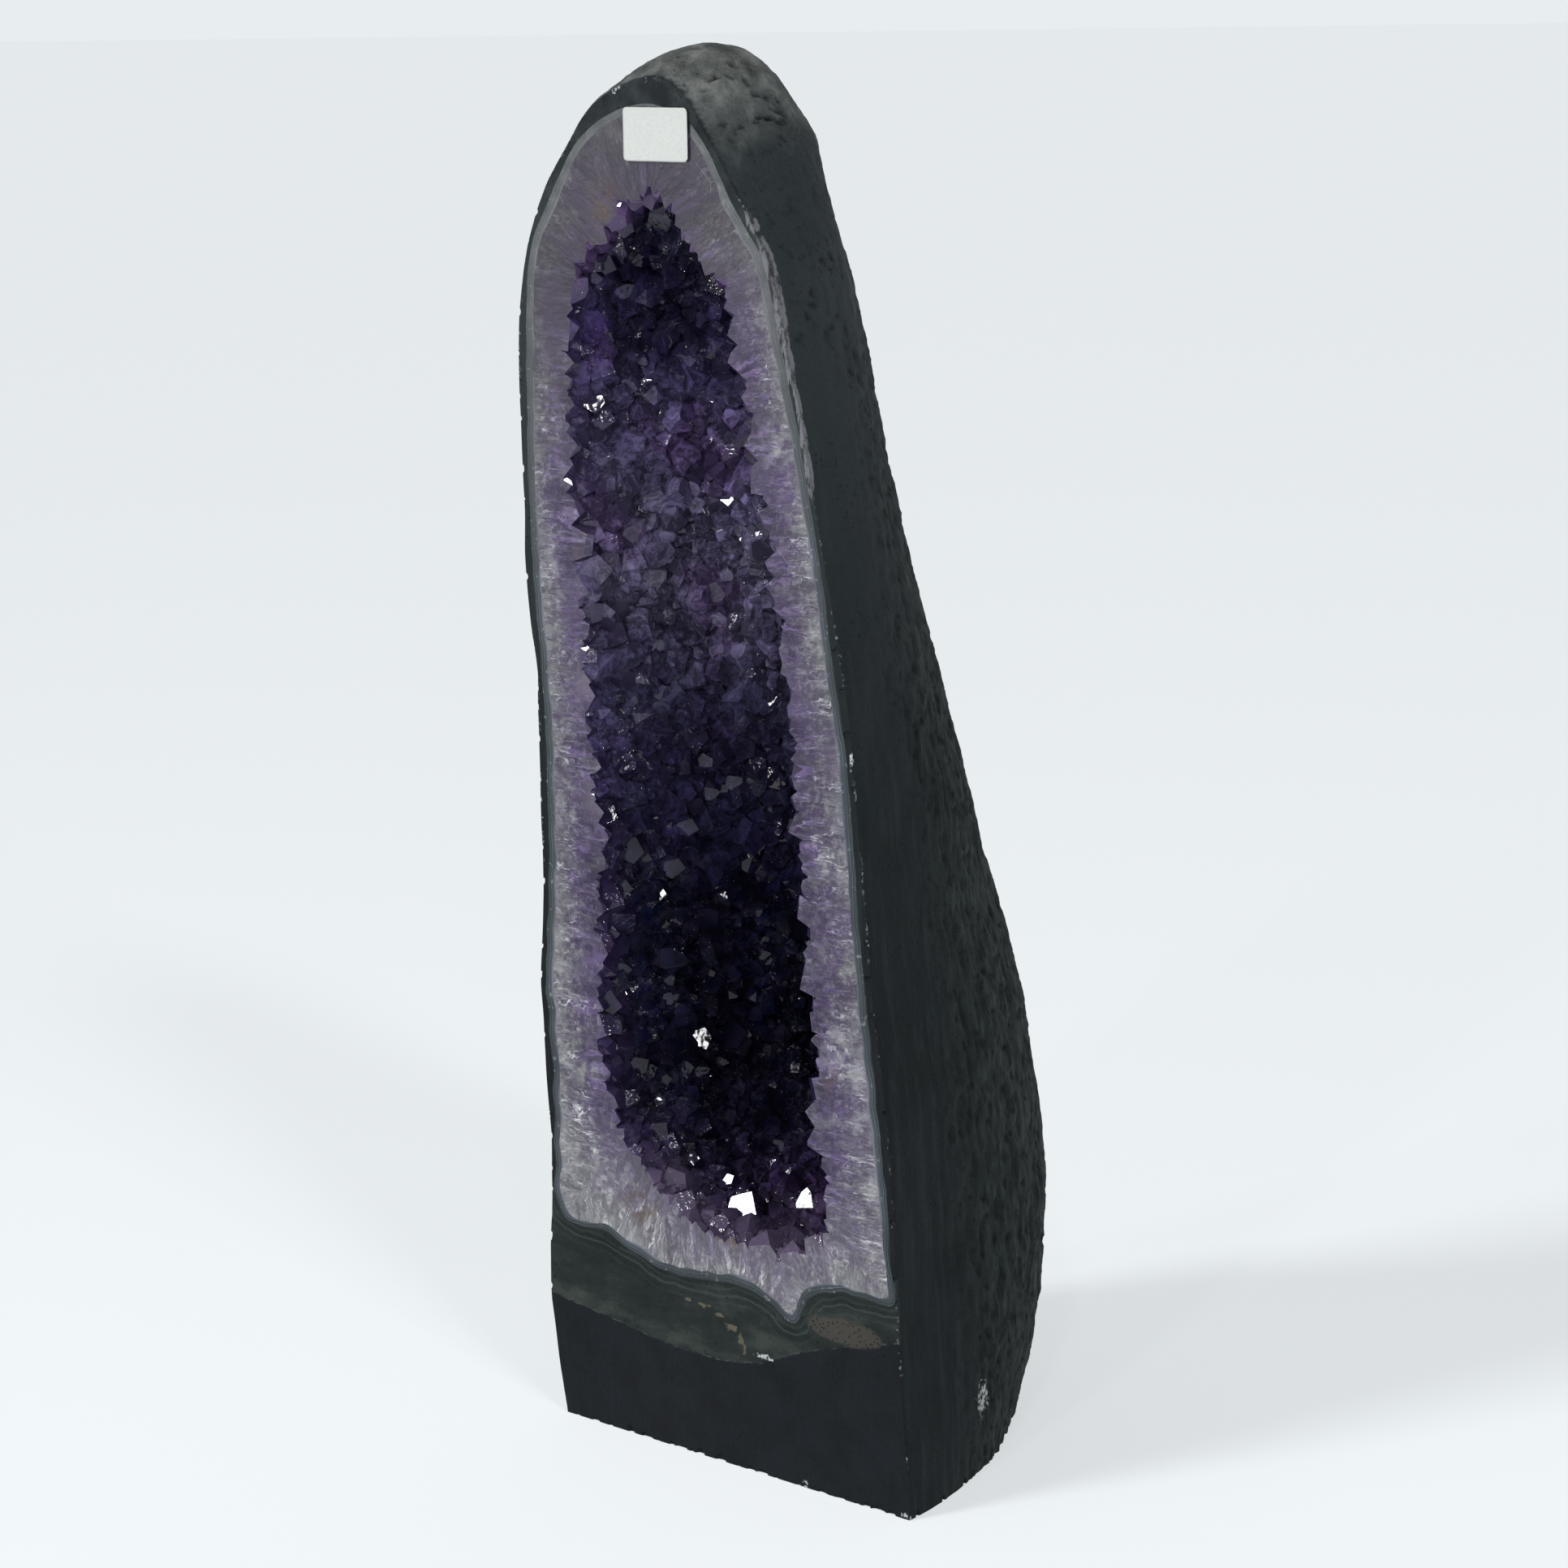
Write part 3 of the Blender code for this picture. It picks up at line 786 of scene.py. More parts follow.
def agate_looks():
    """Thin grey bands that follow the pocket's outline inwards."""
    look = Looks("agate")
    wobble = (look.noise(70, detail=4) - 0.5) * (3.4 * MM)
    look.colour = look.ramp(
        (look.attribute("inward") + wobble) / (3.9 * MM),
        (0.00, "0d1416"),
        (0.16, "151d20"),
        (0.22, "485255"),
        (0.27, "1a2227"),
        (0.46, "252e36"),
        (0.52, "545d63"),
        (0.58, "272f37"),
        (0.80, "3a414b"),
        (1.00, "606169"),
    )
    look.coat(look.step(look.noise(45, detail=3), 0.42, 0.62) * 0.5, "1d2529")
    look.coat(look.step(look.noise(420, detail=5), 0.62, 0.72) * 0.6, "7d8587")
    look.coat(look.step(look.part("Z"), 0.34, 0.46) * 0.55, "1c2228")
    look.finish(roughness=0.22 + look.noise(120) * 0.2, specular=0.35)
    look.bump(look.noise(500, detail=3), 0.2, 0.1 * MM)
    return look.material


# The sawn quartz's material


def quartz_looks():
    """Sawn quartz: pale outside, purple towards the pocket, with fine fibres across the rim."""
    look = Looks("sawn_quartz")
    along = look.stretched((1.0, 1.0, 0.18), look.vector_attribute("grain"))
    patches = look.noise(42, detail=5, roughness=0.65)
    fibres = look.noise(520, along, detail=5, roughness=0.68, distortion=2.2)
    broad_fibres = look.noise(170, along, detail=4, roughness=0.65, distortion=1.8)
    blotches = look.noise(120, detail=4, roughness=0.6)
    rim_place = look.attribute("share") + (patches + broad_fibres * 0.9 + blotches * 0.9 - 1.40)
    look.colour = look.ramp(
        rim_place,
        (0.00, "6f7173"),
        (0.25, "58585e"),
        (0.50, "443d4f"),
        (0.72, "342748"),
        (1.00, "1f1233"),
    )
    high_up = look.step(look.part("Z") + look.part("X") * -0.5, 0.430, 0.510)
    smoke = patches * 0.5 + broad_fibres * 0.5
    look.coat(high_up * 0.85, look.ramp(smoke, (0.38, "17141b"), (0.50, "352e3c"), (0.62, "524a5a")))
    inner = look.step(rim_place, 0.42, 0.95)
    outer = (1.0 - inner * 0.68) * (1.0 - high_up * 0.60)
    woolly = look.noise(75, detail=4, roughness=0.6) + look.drop(look.part("Z"), 0.10, 0.34) * 0.10
    woolly = look.step(woolly, 0.38, 0.60)
    pale = look.step(fibres, 0.51, 0.64) * look.step(broad_fibres, 0.42, 0.58)
    pale = pale * (0.22 + woolly * 0.78) * outer
    look.coat(inner * look.step(broad_fibres, 0.46, 0.62), "54436c")
    strands = look.noise(380, along, detail=5, roughness=0.7, distortion=2.0)
    look.coat(look.step(strands, 0.50, 0.66) * 0.6, "1f1630")
    look.coat(pale, "c2c3c6")
    look.coat(look.step(look.noise(300, along, detail=5), 0.51, 0.66) * 0.65, "2c2637")
    cloud_quartz(look, outer, woolly)
    look.coat(high_up * 0.60, "1c1824")
    look.coat(look.attribute("bulge") * 0.65, "615969")
    low_down = look.drop(look.part("Z"), 0.095, 0.150)
    look.coat(low_down * 0.35, look.mix(pale, "727175", "b4b4b4"))
    frost = look.step(look.noise(240, along, detail=6, roughness=0.8, distortion=3.0), 0.50, 0.64)
    look.coat(frost * (0.16 + low_down * 0.28) * outer, "bdbec0")
    look.coat(look.step(look.noise(150, along, detail=5, roughness=0.7), 0.50, 0.66) * 0.45, "3a3342")
    crack = look.drop(look.cells(38, feature="DISTANCE_TO_EDGE"), 0.0, 0.010)
    crack *= look.step(look.noise(30), 0.62, 0.70)
    look.coat(crack * 0.4, "96969b")
    rust = look.attribute("rust") * look.step(look.noise(160, detail=4), 0.40, 0.62)
    look.coat(rust * 0.7, "4a3b2e")
    look.finish(roughness=0.26 + patches * 0.25, specular=0.3)
    look.bump(fibres + crack * -2.0, 0.35, 0.25 * MM)
    return look.material


def cloud_quartz(look, outer, woolly):
    """Pale, dark, white and lilac clouds in the sawn quartz."""
    mottle = look.step(look.noise(330, detail=5, roughness=0.75), 0.50, 0.64) * outer
    look.coat(mottle * 0.45, "88878d")
    look.coat(look.step(look.noise(95, detail=5, roughness=0.7), 0.50, 0.68) * 0.45, "33293f")
    white = look.step(look.noise(64, detail=6, roughness=0.75), 0.52, 0.66) * woolly * outer
    look.coat(white * 0.55, "9a9b9d")
    look.coat(look.step(look.noise(28), 0.48, 0.66) * 0.35, "4d4260")


# The quartz points' material


def amethyst_looks():
    """Glossy quartz points whose colour changes from crystal to crystal and along each one, with painted
    light by height, on each facet and near the front, and painted sparkles.
    """
    look = Looks("amethyst_points")
    growth = look.attribute("growth")
    facet = look.attribute("facet")
    doubled_height = (look.part("Z") + (look.noise(18, detail=3) - 0.5) * 0.09) * 2.0  # in metres
    # The points' colour by height: dark violet, with painted light in the middle of the pocket and at its
    # foot, where the light falls.
    look.colour = look.ramp(
        doubled_height,
        (0.16, "3f3249"),
        (0.21, "2b203e"),
        (0.27, "05081c"),
        (0.43, "060a20"),
        (0.51, "22213c"),
        (0.62, "37354f"),
        (0.70, "56516a"),
        (0.82, "4e4766"),
        (0.89, "2c2748"),
        (0.94, "151329"),
        (1.00, "0a0a1c"),
    )
    vary_brightness(look, growth)
    paint_light_near_front(look, doubled_height)
    look.coat(look.drop(growth, 0.05, 0.75) * 0.14, "4b4360")
    veil_points(look, doubled_height)
    # Painted light: each facet a little lighter at random, as facets catch the light differently.
    look.coat(facet * 0.08, "4d4860")
    look.finish(roughness=0.05 + look.math("POWER", facet, 2.0) * 0.09, specular=0.34)
    chipped = look.noise(520, detail=1.5, roughness=0.6) * look.step(facet, 0.30, 0.80)
    look.bump(look.noise(240, detail=1) * 0.25 + chipped, 1.0, 0.42 * MM)
    return look.material


def vary_brightness(look, growth):
    """Lighter and darker crystals, cloudy inside, some of them the colour of wine."""
    cloudy = look.step(look.noise(210, detail=6, roughness=0.72, distortion=1.2), 0.36, 0.64)
    patch = look.step(look.noise(55, detail=3, roughness=0.6), 0.34, 0.66)
    light = look.attribute("tone") * 0.30 + cloudy * 0.34 + patch * 0.22 + growth * -0.12
    brightness = look.ramp(light, (0.30, (0.18,) * 3), (0.50, (0.55,) * 3), (0.70, (1.0,) * 3))
    doubled = look.mix(1.0, brightness, (2.0, 2.0, 2.0), "MULTIPLY")
    look.colour = look.mix(1.0, look.colour, doubled, "MULTIPLY")
    wine = look.mix(1.0, look.colour, (1.35, 0.75, 1.25), "MULTIPLY")
    look.coat(look.step(look.noise(34, detail=2), 0.50, 0.66) * 0.45, wine)


def paint_light_near_front(look, doubled_height):
    """Painted light: paler points near the sawn front, where the light reaches into the pocket, most of all
    under the pocket's top and on its sill.
    """
    depth = look.part("Y") - FACE_Y
    near_front = look.drop(depth, 2 * MM, 20 * MM) * look.step(look.noise(45, detail=3), 0.30, 0.62)
    look.coat(near_front * 0.50, "3a2d50")
    under_top = look.step(doubled_height, 0.90, 0.96) * look.drop(depth, 3 * MM, 12 * MM)
    look.coat(under_top * 0.7, "554268")
    sill = look.drop(look.part("Z"), 0.108, 0.128) * look.drop(depth, 5 * MM, 26 * MM)
    look.coat(sill * 0.75, "50465a")


def veil_points(look, doubled_height):
    """Milky veils and thin flaws in the points, and white specks that are painted sparkles."""
    veil = look.step(look.noise(280, detail=6, roughness=0.75, distortion=1.0), 0.52, 0.68)
    veil *= look.step(look.noise(55, detail=3), 0.40, 0.62)
    shown = look.step(abs(doubled_height - 0.40), 0.06, 0.16)
    look.coat(veil * (shown * 0.38), "6d6880")
    flaw = look.drop(look.cells(240, feature="DISTANCE_TO_EDGE"), 0.0, 0.02)
    look.coat(flaw * look.step(look.noise(90), 0.56, 0.66) * 0.35, "77728a")
    # Painted sparkles: tiny white specks that stand in for glints.
    painted_sparkle = look.drop(look.cells(480, look.warped(300, 2 * MM)), 0.07, 0.13)
    look.coat(painted_sparkle * look.step(look.noise(100, detail=2), 0.56, 0.64) * 0.7, "b4b1bd")


# The label's material


def paper_looks():
    look = Looks("label_paper")
    fibres = look.noise(1600, detail=4)
    look.colour = look.ramp(fibres, (0.35, "b1b3b0"), (0.65, "bcbebb"))
    look.finish(roughness=0.38 + fibres * 0.15, specular=0.5)
    look.bump(fibres, 0.08, 0.05 * MM)
    return look.material


# Attributes that the materials read


def set_attribute(mesh, name, values, domain="POINT"):
    made = mesh.attributes.new(name, "FLOAT", domain)
    made.data.foreach_set("value", np.ascontiguousarray(values, np.float32))


def set_vector_attribute(mesh, name, values):
    made = mesh.attributes.new(name, "FLOAT_VECTOR", "POINT")
    made.data.foreach_set("vector", np.ascontiguousarray(values, np.float32).ravel())


def points_of(mesh):
    points = np.empty(len(mesh.vertices) * 3, np.float32)
    mesh.vertices.foreach_get("co", points)
    return points.reshape(-1, 3).astype(float)


def rim_places(points, rim):
    """For each point, its distance from a rim and how far round the rim it lies, from 0 to 1."""
    lengths = [(b - a).length for a, b in zip(rim, rim[1:] + rim[:1])]
    total = sum(lengths)
    tree = KDTree(len(rim))
    for k, point in enumerate(rim):
        tree.insert((point.x, 0, point.z), k)
    tree.balance()
    round_places = np.concatenate([[0], np.cumsum(lengths)[:-1]]) / total
    found = [tree.find((x, 0, z)) for x, _, z in points]
    inward = np.array([item[2] for item in found])
    around = round_places[[item[1] for item in found]]
    return inward, around, total


def near_spots(points, spots):
    """1 at the middle of the nearest spot and 0 past its edge. A spot is a centre and three half sizes."""
    best = np.zeros(len(points))
    for centre, sizes in spots:
        away = np.linalg.norm((points - np.array(centre)) / np.array(sizes), axis=1)
        best = np.maximum(best, np.clip(1.4 - away, 0, 1))
    return best


SCUFFS = (
    ((0.0900, -0.0285, 0.0310), (6 * MM, 8 * MM, 10 * MM)),
    ((0.0790, -0.0010, 0.1446), (2.0 * MM, 1.5 * MM, 2.5 * MM)),
    ((0.0946, FACE_Y, 0.0010), (5 * MM, 2.5 * MM, 2.5 * MM)),
    ((0.0939, FACE_Y, 0.0249), (1.5 * MM, 1.5 * MM, 1.8 * MM)),
    ((0.0230, FACE_Y, 0.0500), (9 * MM, 2 * MM, 2.0 * MM)),
    ((0.0430, FACE_Y, 0.0020), (3 * MM, 2 * MM, 3 * MM)),
    ((0.0695, FACE_Y, 0.2990), (2.5 * MM, 1.2 * MM, 5 * MM)),
    ((-0.0400, FACE_Y, 0.5440), (4 * MM, 1.5 * MM, 2.0 * MM)),
    ((-0.0180, FACE_Y, 0.5530), (5 * MM, 1.5 * MM, 1.5 * MM)),
    ((0.0120, FACE_Y, 0.5200), (2 * MM, 1.5 * MM, 4.0 * MM)),
)
STAINS = (
    ((-0.016, FACE_Y, 0.0655), (4 * MM, 2 * MM, 1.0 * MM)),
    ((-0.008, FACE_Y, 0.0650), (5 * MM, 2 * MM, 1.6 * MM)),
    ((0.000, FACE_Y, 0.0625), (4 * MM, 2 * MM, 1.2 * MM)),
    ((0.006, FACE_Y, 0.0585), (5 * MM, 2 * MM, 2.2 * MM)),
    ((0.011, FACE_Y, 0.0545), (2.5 * MM, 2 * MM, 2.6 * MM)),
    ((0.013, FACE_Y, 0.0505), (1.5 * MM, 2 * MM, 2.5 * MM)),
)
POROUS = (((0.064, FACE_Y, 0.0700), (20 * MM, 3 * MM, 5.5 * MM)),)
BULGES = (
    ((-0.057, FACE_Y, 0.266), (9 * MM, 4 * MM, 9 * MM)),
    ((-0.064, FACE_Y, 0.312), (7 * MM, 4 * MM, 6 * MM)),
)
RUST = (
    ((-0.050, FACE_Y, 0.497), (9 * MM, 4 * MM, 12 * MM)),
    ((-0.062, FACE_Y, 0.372), (5 * MM, 9 * MM, 12 * MM)),
    ((0.056, FACE_Y, 0.172), (4 * MM, 4 * MM, 5 * MM)),
    ((0.008, FACE_Y, 0.096), (12 * MM, 5 * MM, 4 * MM)),
    ((-0.040, FACE_Y, 0.100), (10 * MM, 4 * MM, 8 * MM)),
)


def ragged_edge():
    """Spots along the right edge of the sawn front, high up, where the saw tore the stone."""
    spots = []
    for z in np.arange(0.400, 0.502, 4 * MM):
        wide = (1.8 + 1.6 * smooth_step(z, 0.43, 0.48)) * MM
        centre = (outer_edge_at(z)[1] - 0.5 * MM, FACE_Y + 0.5 * MM, z)
        spots.append((centre, (wide, wide, 4 * MM)))
    return spots


# The pieces


def finish_piece(obj, slot, *nodes):
    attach(obj, "root")
    if nodes:
        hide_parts(*nodes)


def hollows(mesh):
    """How deep each point lies below its neighbours, from 0 to 1 for a sharp hollow."""
    points = points_of(mesh)
    ends = np.empty(len(mesh.edges) * 2, np.int32)
    mesh.edges.foreach_get("vertices", ends)
    ends = ends.reshape(-1, 2)
    level = points.copy()
    for _ in range(6):
        total = np.zeros_like(level)
        count = np.zeros(len(level))
        for a, b in ((0, 1), (1, 0)):
            np.add.at(total, ends[:, a], level[ends[:, b]])
            np.add.at(count, ends[:, a], 1)
        level = total / np.maximum(count, 1)[:, None]
    normals = np.empty(len(points) * 3, np.float32)
    mesh.vertices.foreach_get("normal", normals)
    sunk = ((level - points) * normals.reshape(-1, 3)).sum(axis=1)
    return np.clip(sunk / (0.55 * MM), 0, 1)


def build_stone():
    base_cutter = box_helper("base_cutter", (-0.2, -0.2, -0.1), (0.2, 0.2, 0.0))
    mesh = combined(
        stone_body(),
        [
            ("DIFFERENCE", pocket_plug),
            ("DIFFERENCE", foot_cutter()),
            ("DIFFERENCE", base_cutter),
            ("DIFFERENCE", chips()),
        ],
    )
    mesh.shade_smooth()
    mesh.set_sharp_from_angle(angle=math.radians(38))
    mark_sawn_stone(mesh)
    mesh.materials.clear()
    mesh.materials.append(basalt_looks())
    finish_piece(add_piece("basalt_stone", mesh), "basalt", "basalt_shell")


def mark_sawn_stone(mesh):
    """Sets what the stone's material reads: the parts of its front, its hollows for painted shade, and its
    marks.
    """
    points = points_of(mesh)
    heights = points[:, 2]
    behind = points[:, 1] - FACE_Y
    front = behind < 1.2 * MM
    border = np.array([paint_height(x) for x in points[:, 0]])
    above = np.clip((heights - border) / (4 * MM) + 0.5, 0, 1)
    below = np.clip((0.100 - heights) / (6 * MM), 0, 1)
    outward, _, _ = rim_places(points, pocket_rim)
    from_edge, _, _ = rim_places(points, outer_rim)
    marks = {
        "foot": front * (heights < 0.2),
        "crescent": front * np.clip((heights - 0.490) / 0.020, 0, 1),
        "bare": front * above * below,
        "porous": near_spots(points, POROUS),
        "outward": np.where(front & (heights < 0.1), outward, 1.0),
        "ragged": near_spots(points, ragged_edge()),
        "edge": (behind < 1.5 * MM) * np.clip(1 - from_edge / (2.5 * MM), 0, 1),
        "hollow": np.where(front, 0, hollows(mesh)),
        "scuff": near_spots(points, SCUFFS),
        "stain": near_spots(points, STAINS),
    }
    for name, values in marks.items():
        set_attribute(mesh, name, values)


def build_agate():
    mesh = combined(pocket_plug, [("DIFFERENCE", lining_plug), ("DIFFERENCE", front_cutter)])
    refill_mesh(mesh, AGATE_SPACING)
    inward, _, _ = rim_places(points_of(mesh), pocket_rim)
    set_attribute(mesh, "inward", inward)
    mesh.materials.clear()
    mesh.materials.append(agate_looks())
    finish_piece(add_piece("agate_layers", mesh), "agate", "agate_band")


# The quartz points


def cut_away(bm, normal, distance):
    """Keeps the part of a closed body behind a plane, and closes it."""
    items = bm.verts[:] + bm.edges[:] + bm.faces[:]
    bmesh.ops.bisect_plane(
        bm, geom=items, plane_co=normal * distance, plane_no=normal, clear_outer=True
    )
    rim = open_edges(bm)
    if rim:
        bmesh.ops.holes_fill(bm, edges=rim)


def point_template(picker):
    """A quartz point of unit radius along +z: six uneven sides and six uneven tip faces.

    Returns its vertices, its faces and its planes as (normal, distance).
    """
    planes = []
    for k in range(6):
        turn = math.radians(60 * k) + picker.uniform(-0.03, 0.03)
        planes.append((Vector((math.cos(turn), math.sin(turn), 0)), picker.uniform(0.72, 0.95)))
    tip = picker.uniform(0.85, 1.35)
    minor = picker.uniform(1.05, 1.75)
    for k in range(6):
        turn = math.radians(60 * k) + picker.uniform(-0.03, 0.03)
        reach = tip * (minor if k % 2 else 1.0) * picker.uniform(0.90, 1.10)
        aside = math.sin(FACE_LEAN)
        lean = Vector((math.cos(turn) * aside, math.sin(turn) * aside, math.cos(FACE_LEAN)))
        planes.append((lean, reach * math.cos(FACE_LEAN)))
    planes.append((Vector((0, 0, -1)), POINT_FOOT))
    bm = bmesh.new()
    bmesh.ops.create_cube(bm, size=6)
    for normal, distance in planes:
        cut_away(bm, normal, distance)
    bmesh.ops.recalc_face_normals(bm, faces=bm.faces)
    bm.verts.index_update()
    points = [vert.co.copy() for vert in bm.verts]
    faces = [[vert.index for vert in face.verts] for face in bm.faces]
    top = max(point.z for point in points)
    bm.free()
    return {"points": points, "faces": faces, "planes": planes, "top": top}


def crystal_frame(direction, turn):
    return direction.to_track_quat("Z", "Y").to_matrix() @ Matrix.Rotation(turn, 3, "Z")


def cad_crystals():
    """The CAD crystals as (node name, middle of the base, axis, radius, length)."""
    found = []
    for name, obj in sorted(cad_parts.items()):
        if not name.startswith("amethyst_crystal"):
            continue
        points = []
        for vert in obj.data.vertices:
            if all((vert.co - point).length > WELD for point in points):
                points.append(vert.co.copy())
        middle = sum(points, Vector()) / len(points)
        tip = max(points, key=lambda point: (point - middle).length)
        base = sorted(points, key=lambda point: (point - tip).length)[-6:]
        foot = sum(base, Vector()) / 6
        radius = sum((point - foot).length for point in base) / 6
        found.append((name, foot, (tip - foot).normalized(), radius, (tip - foot).length))
    return found


def seat_fills(crystals):
    """Twelve-sided bodies that fill the lining's sockets up to a little over its surface."""
    bm = bmesh.new()
    for _, foot, axis, radius, _ in crystals:
        turn = crystal_frame(axis, 0.0)
        rings = []
        for along in (-0.6 * MM, 6.8 * MM):
            ring = []
            for k in range(12):
                angle = math.radians(30 * k)
                wide = radius + 0.6 * MM
                local = Vector((wide * math.cos(angle), wide * math.sin(angle), along))
                ring.append(bm.verts.new(foot + turn @ local))
            rings.append(ring)
        for k in range(12):
            after = (k + 1) % 12
            bm.faces.new((rings[0][k], rings[0][after], rings[1][after], rings[1][k]))
        bm.faces.new(rings[0][::-1])
        bm.faces.new(rings[1])
    return helper_from("seat_fills", bm)


def pocket_middles(centres):
    """For each point, the nearest height's point on the pocket's leaning middle line."""
    heights = [point.z for point in cavity_rim]
    low = np.array([SPINE_LOW[0], FACE_Y + 4 * MM, min(heights) + SPINE_LOW[1]])
    high = np.array([SPINE_HIGH[0], FACE_Y + 4 * MM, max(heights) - SPINE_HIGH[1]])
    along = np.clip((centres[:, 2] - low[2]) / (high[2] - low[2]), 0, 1)
    return low + (high - low) * along[:, None]


def wall_samples(body_mesh, count):
    """Random points on the pocket's wall, each with the wall's normal and the way to the pocket's middle."""
    body_mesh.calc_loop_triangles()
    triangles = np.array([tuple(triangle.vertices) for triangle in body_mesh.loop_triangles])
    corners = points_of(body_mesh)[triangles]
    normals = np.cross(corners[:, 1] - corners[:, 0], corners[:, 2] - corners[:, 0])
    areas = np.linalg.norm(normals, axis=1) / 2
    normals /= np.maximum(2 * areas, 1e-15)[:, None]
    centres = corners.mean(axis=1)
    inward = pocket_middles(centres) - centres
    inward /= np.linalg.norm(inward, axis=1)[:, None]
    facing = (normals * inward).sum(axis=1) > 0.15
    shown = (centres[:, 1] > FACE_Y - DRUSE_IN_FRONT) & facing
    weights = np.where(shown, areas, 0)
    chooser = np.random.default_rng(DRUSE_SEED)
    chosen = chooser.choice(len(areas), size=count, p=weights / weights.sum())
    mixes = chooser.random((count, 2))
    flip = mixes.sum(axis=1) > 1
    mixes[flip] = 1 - mixes[flip]
    a, b, c = corners[chosen, 0], corners[chosen, 1], corners[chosen, 2]
    places = a + (b - a) * mixes[:, :1] + (c - a) * mixes[:, 1:]
    keep = places[:, 1] > FACE_Y - DRUSE_IN_FRONT
    return places[keep], normals[chosen][keep], inward[chosen][keep]


def flash_turn(place, wall_normal):
    """The turn of a quartz point whose first tip face mirrors the key light to the camera."""
    to_camera = (CAMERA_PLACE - place).normalized()
    shine = (to_camera + (KEY_PLACE - LIT_MIDDLE).normalized()).normalized()
    side = (wall_normal - shine * wall_normal.dot(shine)).normalized()
    axis = shine * math.cos(FACE_LEAN) + side * math.sin(FACE_LEAN)
    across = (shine - axis * shine.dot(axis)).normalized()
    return Matrix((across, axis.cross(across), axis)).transposed()


def cell_key(point, size):
    return tuple(int(math.floor(part / size)) for part in point)


def neighbours(cells, point, size):
    """What a grid of cells holds in a point's own cell and in the 26 around it."""
    x, y, z = cell_key(point, size)
    for dx, dy, dz in itertools.product((-1, 0, 1), repeat=3):
        yield from cells.get((x + dx, y + dy, z + dz), ())


def grown_point(place, turn, radius, templates, picker):
    template = templates[picker.randrange(TEMPLATES)]
    return {"place": place, "turn": turn, "radius": radius, "template": template, "tone": picker.random()}


def plant_points(body_mesh, crystals):
    """Chooses where small quartz points grow, large ones first, and returns them as dictionaries."""
    picker = random.Random(DRUSE_SEED)
    templates = [point_template(picker) for _ in range(TEMPLATES)]
    places, normals, inward = wall_samples(body_mesh, DRUSE_TRIES)
    cells = {}
    planted = []

    def take(place, radius):
        cells.setdefault(cell_key(place, DRUSE_CELL), []).append((place, radius))

    for x, z in FLASH_PLACES:
        k = int(np.hypot(places[:, 0] - x * MM, places[:, 2] - z * MM).argmin())
        place = Vector(places[k])
        radius = picker.uniform(*FLASH_RADII) * MM
        take(place, radius)
        turn = flash_turn(place, Vector(normals[k]))
        planted.append(grown_point(place, turn, radius, templates, picker))
    for _, foot, axis, radius, _ in crystals:
        take(foot + axis * SEAT_DEPTH, 0.80 * radius)
    low, high = DRUSE_RADII
    for k, (place, normal, way) in enumerate(zip(places, normals, inward)):
        share = 1 - k / len(places)
        place, normal = Vector(place), Vector(normal)
        patch = 0.98 + 1.2 * noise.noise(place / DRUSE_PATCH)
        radius = low + (high - low) * share**1.8 * picker.uniform(0.5, 1.0) * min(max(patch, 0.45), 1.40)
        if any(
            (other - place).length < DRUSE_CLOSENESS * (size + radius)
            for other, size in neighbours(cells, place, DRUSE_CELL)
        ):
            continue
        take(place, radius)
        straight = (normal * 0.55 + Vector(way) * 0.45).normalized()
        lean = Vector([picker.gauss(0, 1) for _ in range(3)]).normalized()
        direction = (straight + lean * picker.uniform(0.05, 0.85)).normalized()
        turn = crystal_frame(direction, picker.uniform(0, 2 * math.pi))
        if picker.random() < FLASH_SHARE:
            turn = flash_turn(place, normal)
        planted.append(grown_point(place, turn, radius, templates, picker))
    return planted


def grouped(planted):
    """Splits the points into groups whose members don't touch each other."""
    groups = []
    for point in planted:
        middle = point["place"] + point["turn"] @ Vector((0, 0, 0.6 * point["radius"]))
        reach = POINT_REACH * point["radius"]
        for group in groups:
            around = neighbours(group["cells"], middle, GROUP_CELL)
            if all((middle - other).length > reach + size for other, size in around):
                break
        else:
            group = {"points": [], "cells": {}}
            groups.append(group)
        group["points"].append(point)
        group["cells"].setdefault(cell_key(middle, GROUP_CELL), []).append((middle, reach))
    return [group["points"] for group in groups]


def points_helper(name, points):
    """One helper that holds a group of quartz points."""
    verts = []
    faces = []
    for point in points:
        first = len(verts)
        for local in point["template"]["points"]:
            verts.append(point["place"] + point["turn"] @ (local * point["radius"]))
        faces += [[first + k for k in face] for face in point["template"]["faces"]]
    mesh = bpy.data.meshes.new(name)
    mesh.from_pydata(verts, [], faces)
    obj = add_piece(name, mesh)
    helpers.append(obj)
    return obj


def face_owners(centres, planted):
    """For each face centre, its crystal, the plane of that crystal it is on, and whether it is on one."""
    tree = KDTree(len(planted))
    for k, point in enumerate(planted):
        tree.insert(point["place"] + point["turn"] @ Vector((0, 0, 0.8 * point["radius"])), k)
    tree.balance()
    nearest = np.array([[item[1] for item in tree.find_n(c, NEAR_POINTS)] for c in centres.tolist()])
    normals = []
    distances = []
    for point in planted:
        turned = [(point["turn"] @ normal, distance) for normal, distance in point["template"]["planes"]]
        normals.append([tuple(normal) for normal, _ in turned])
        distances.append([n.dot(point["place"]) + d * point["radius"] for n, d in turned])
    normals = np.array(normals)
    distances = np.array(distances)
    gaps = np.einsum("fkpc,fc->fkp", normals[nearest], centres) - distances[nearest]
    outside = gaps.max(axis=2)
    best = np.abs(outside).argmin(axis=1)
    rows = np.arange(len(centres))
    owned = np.abs(outside[rows, best]) < ON_PLANE
    return nearest[rows, best], gaps[rows, best].argmax(axis=1), owned


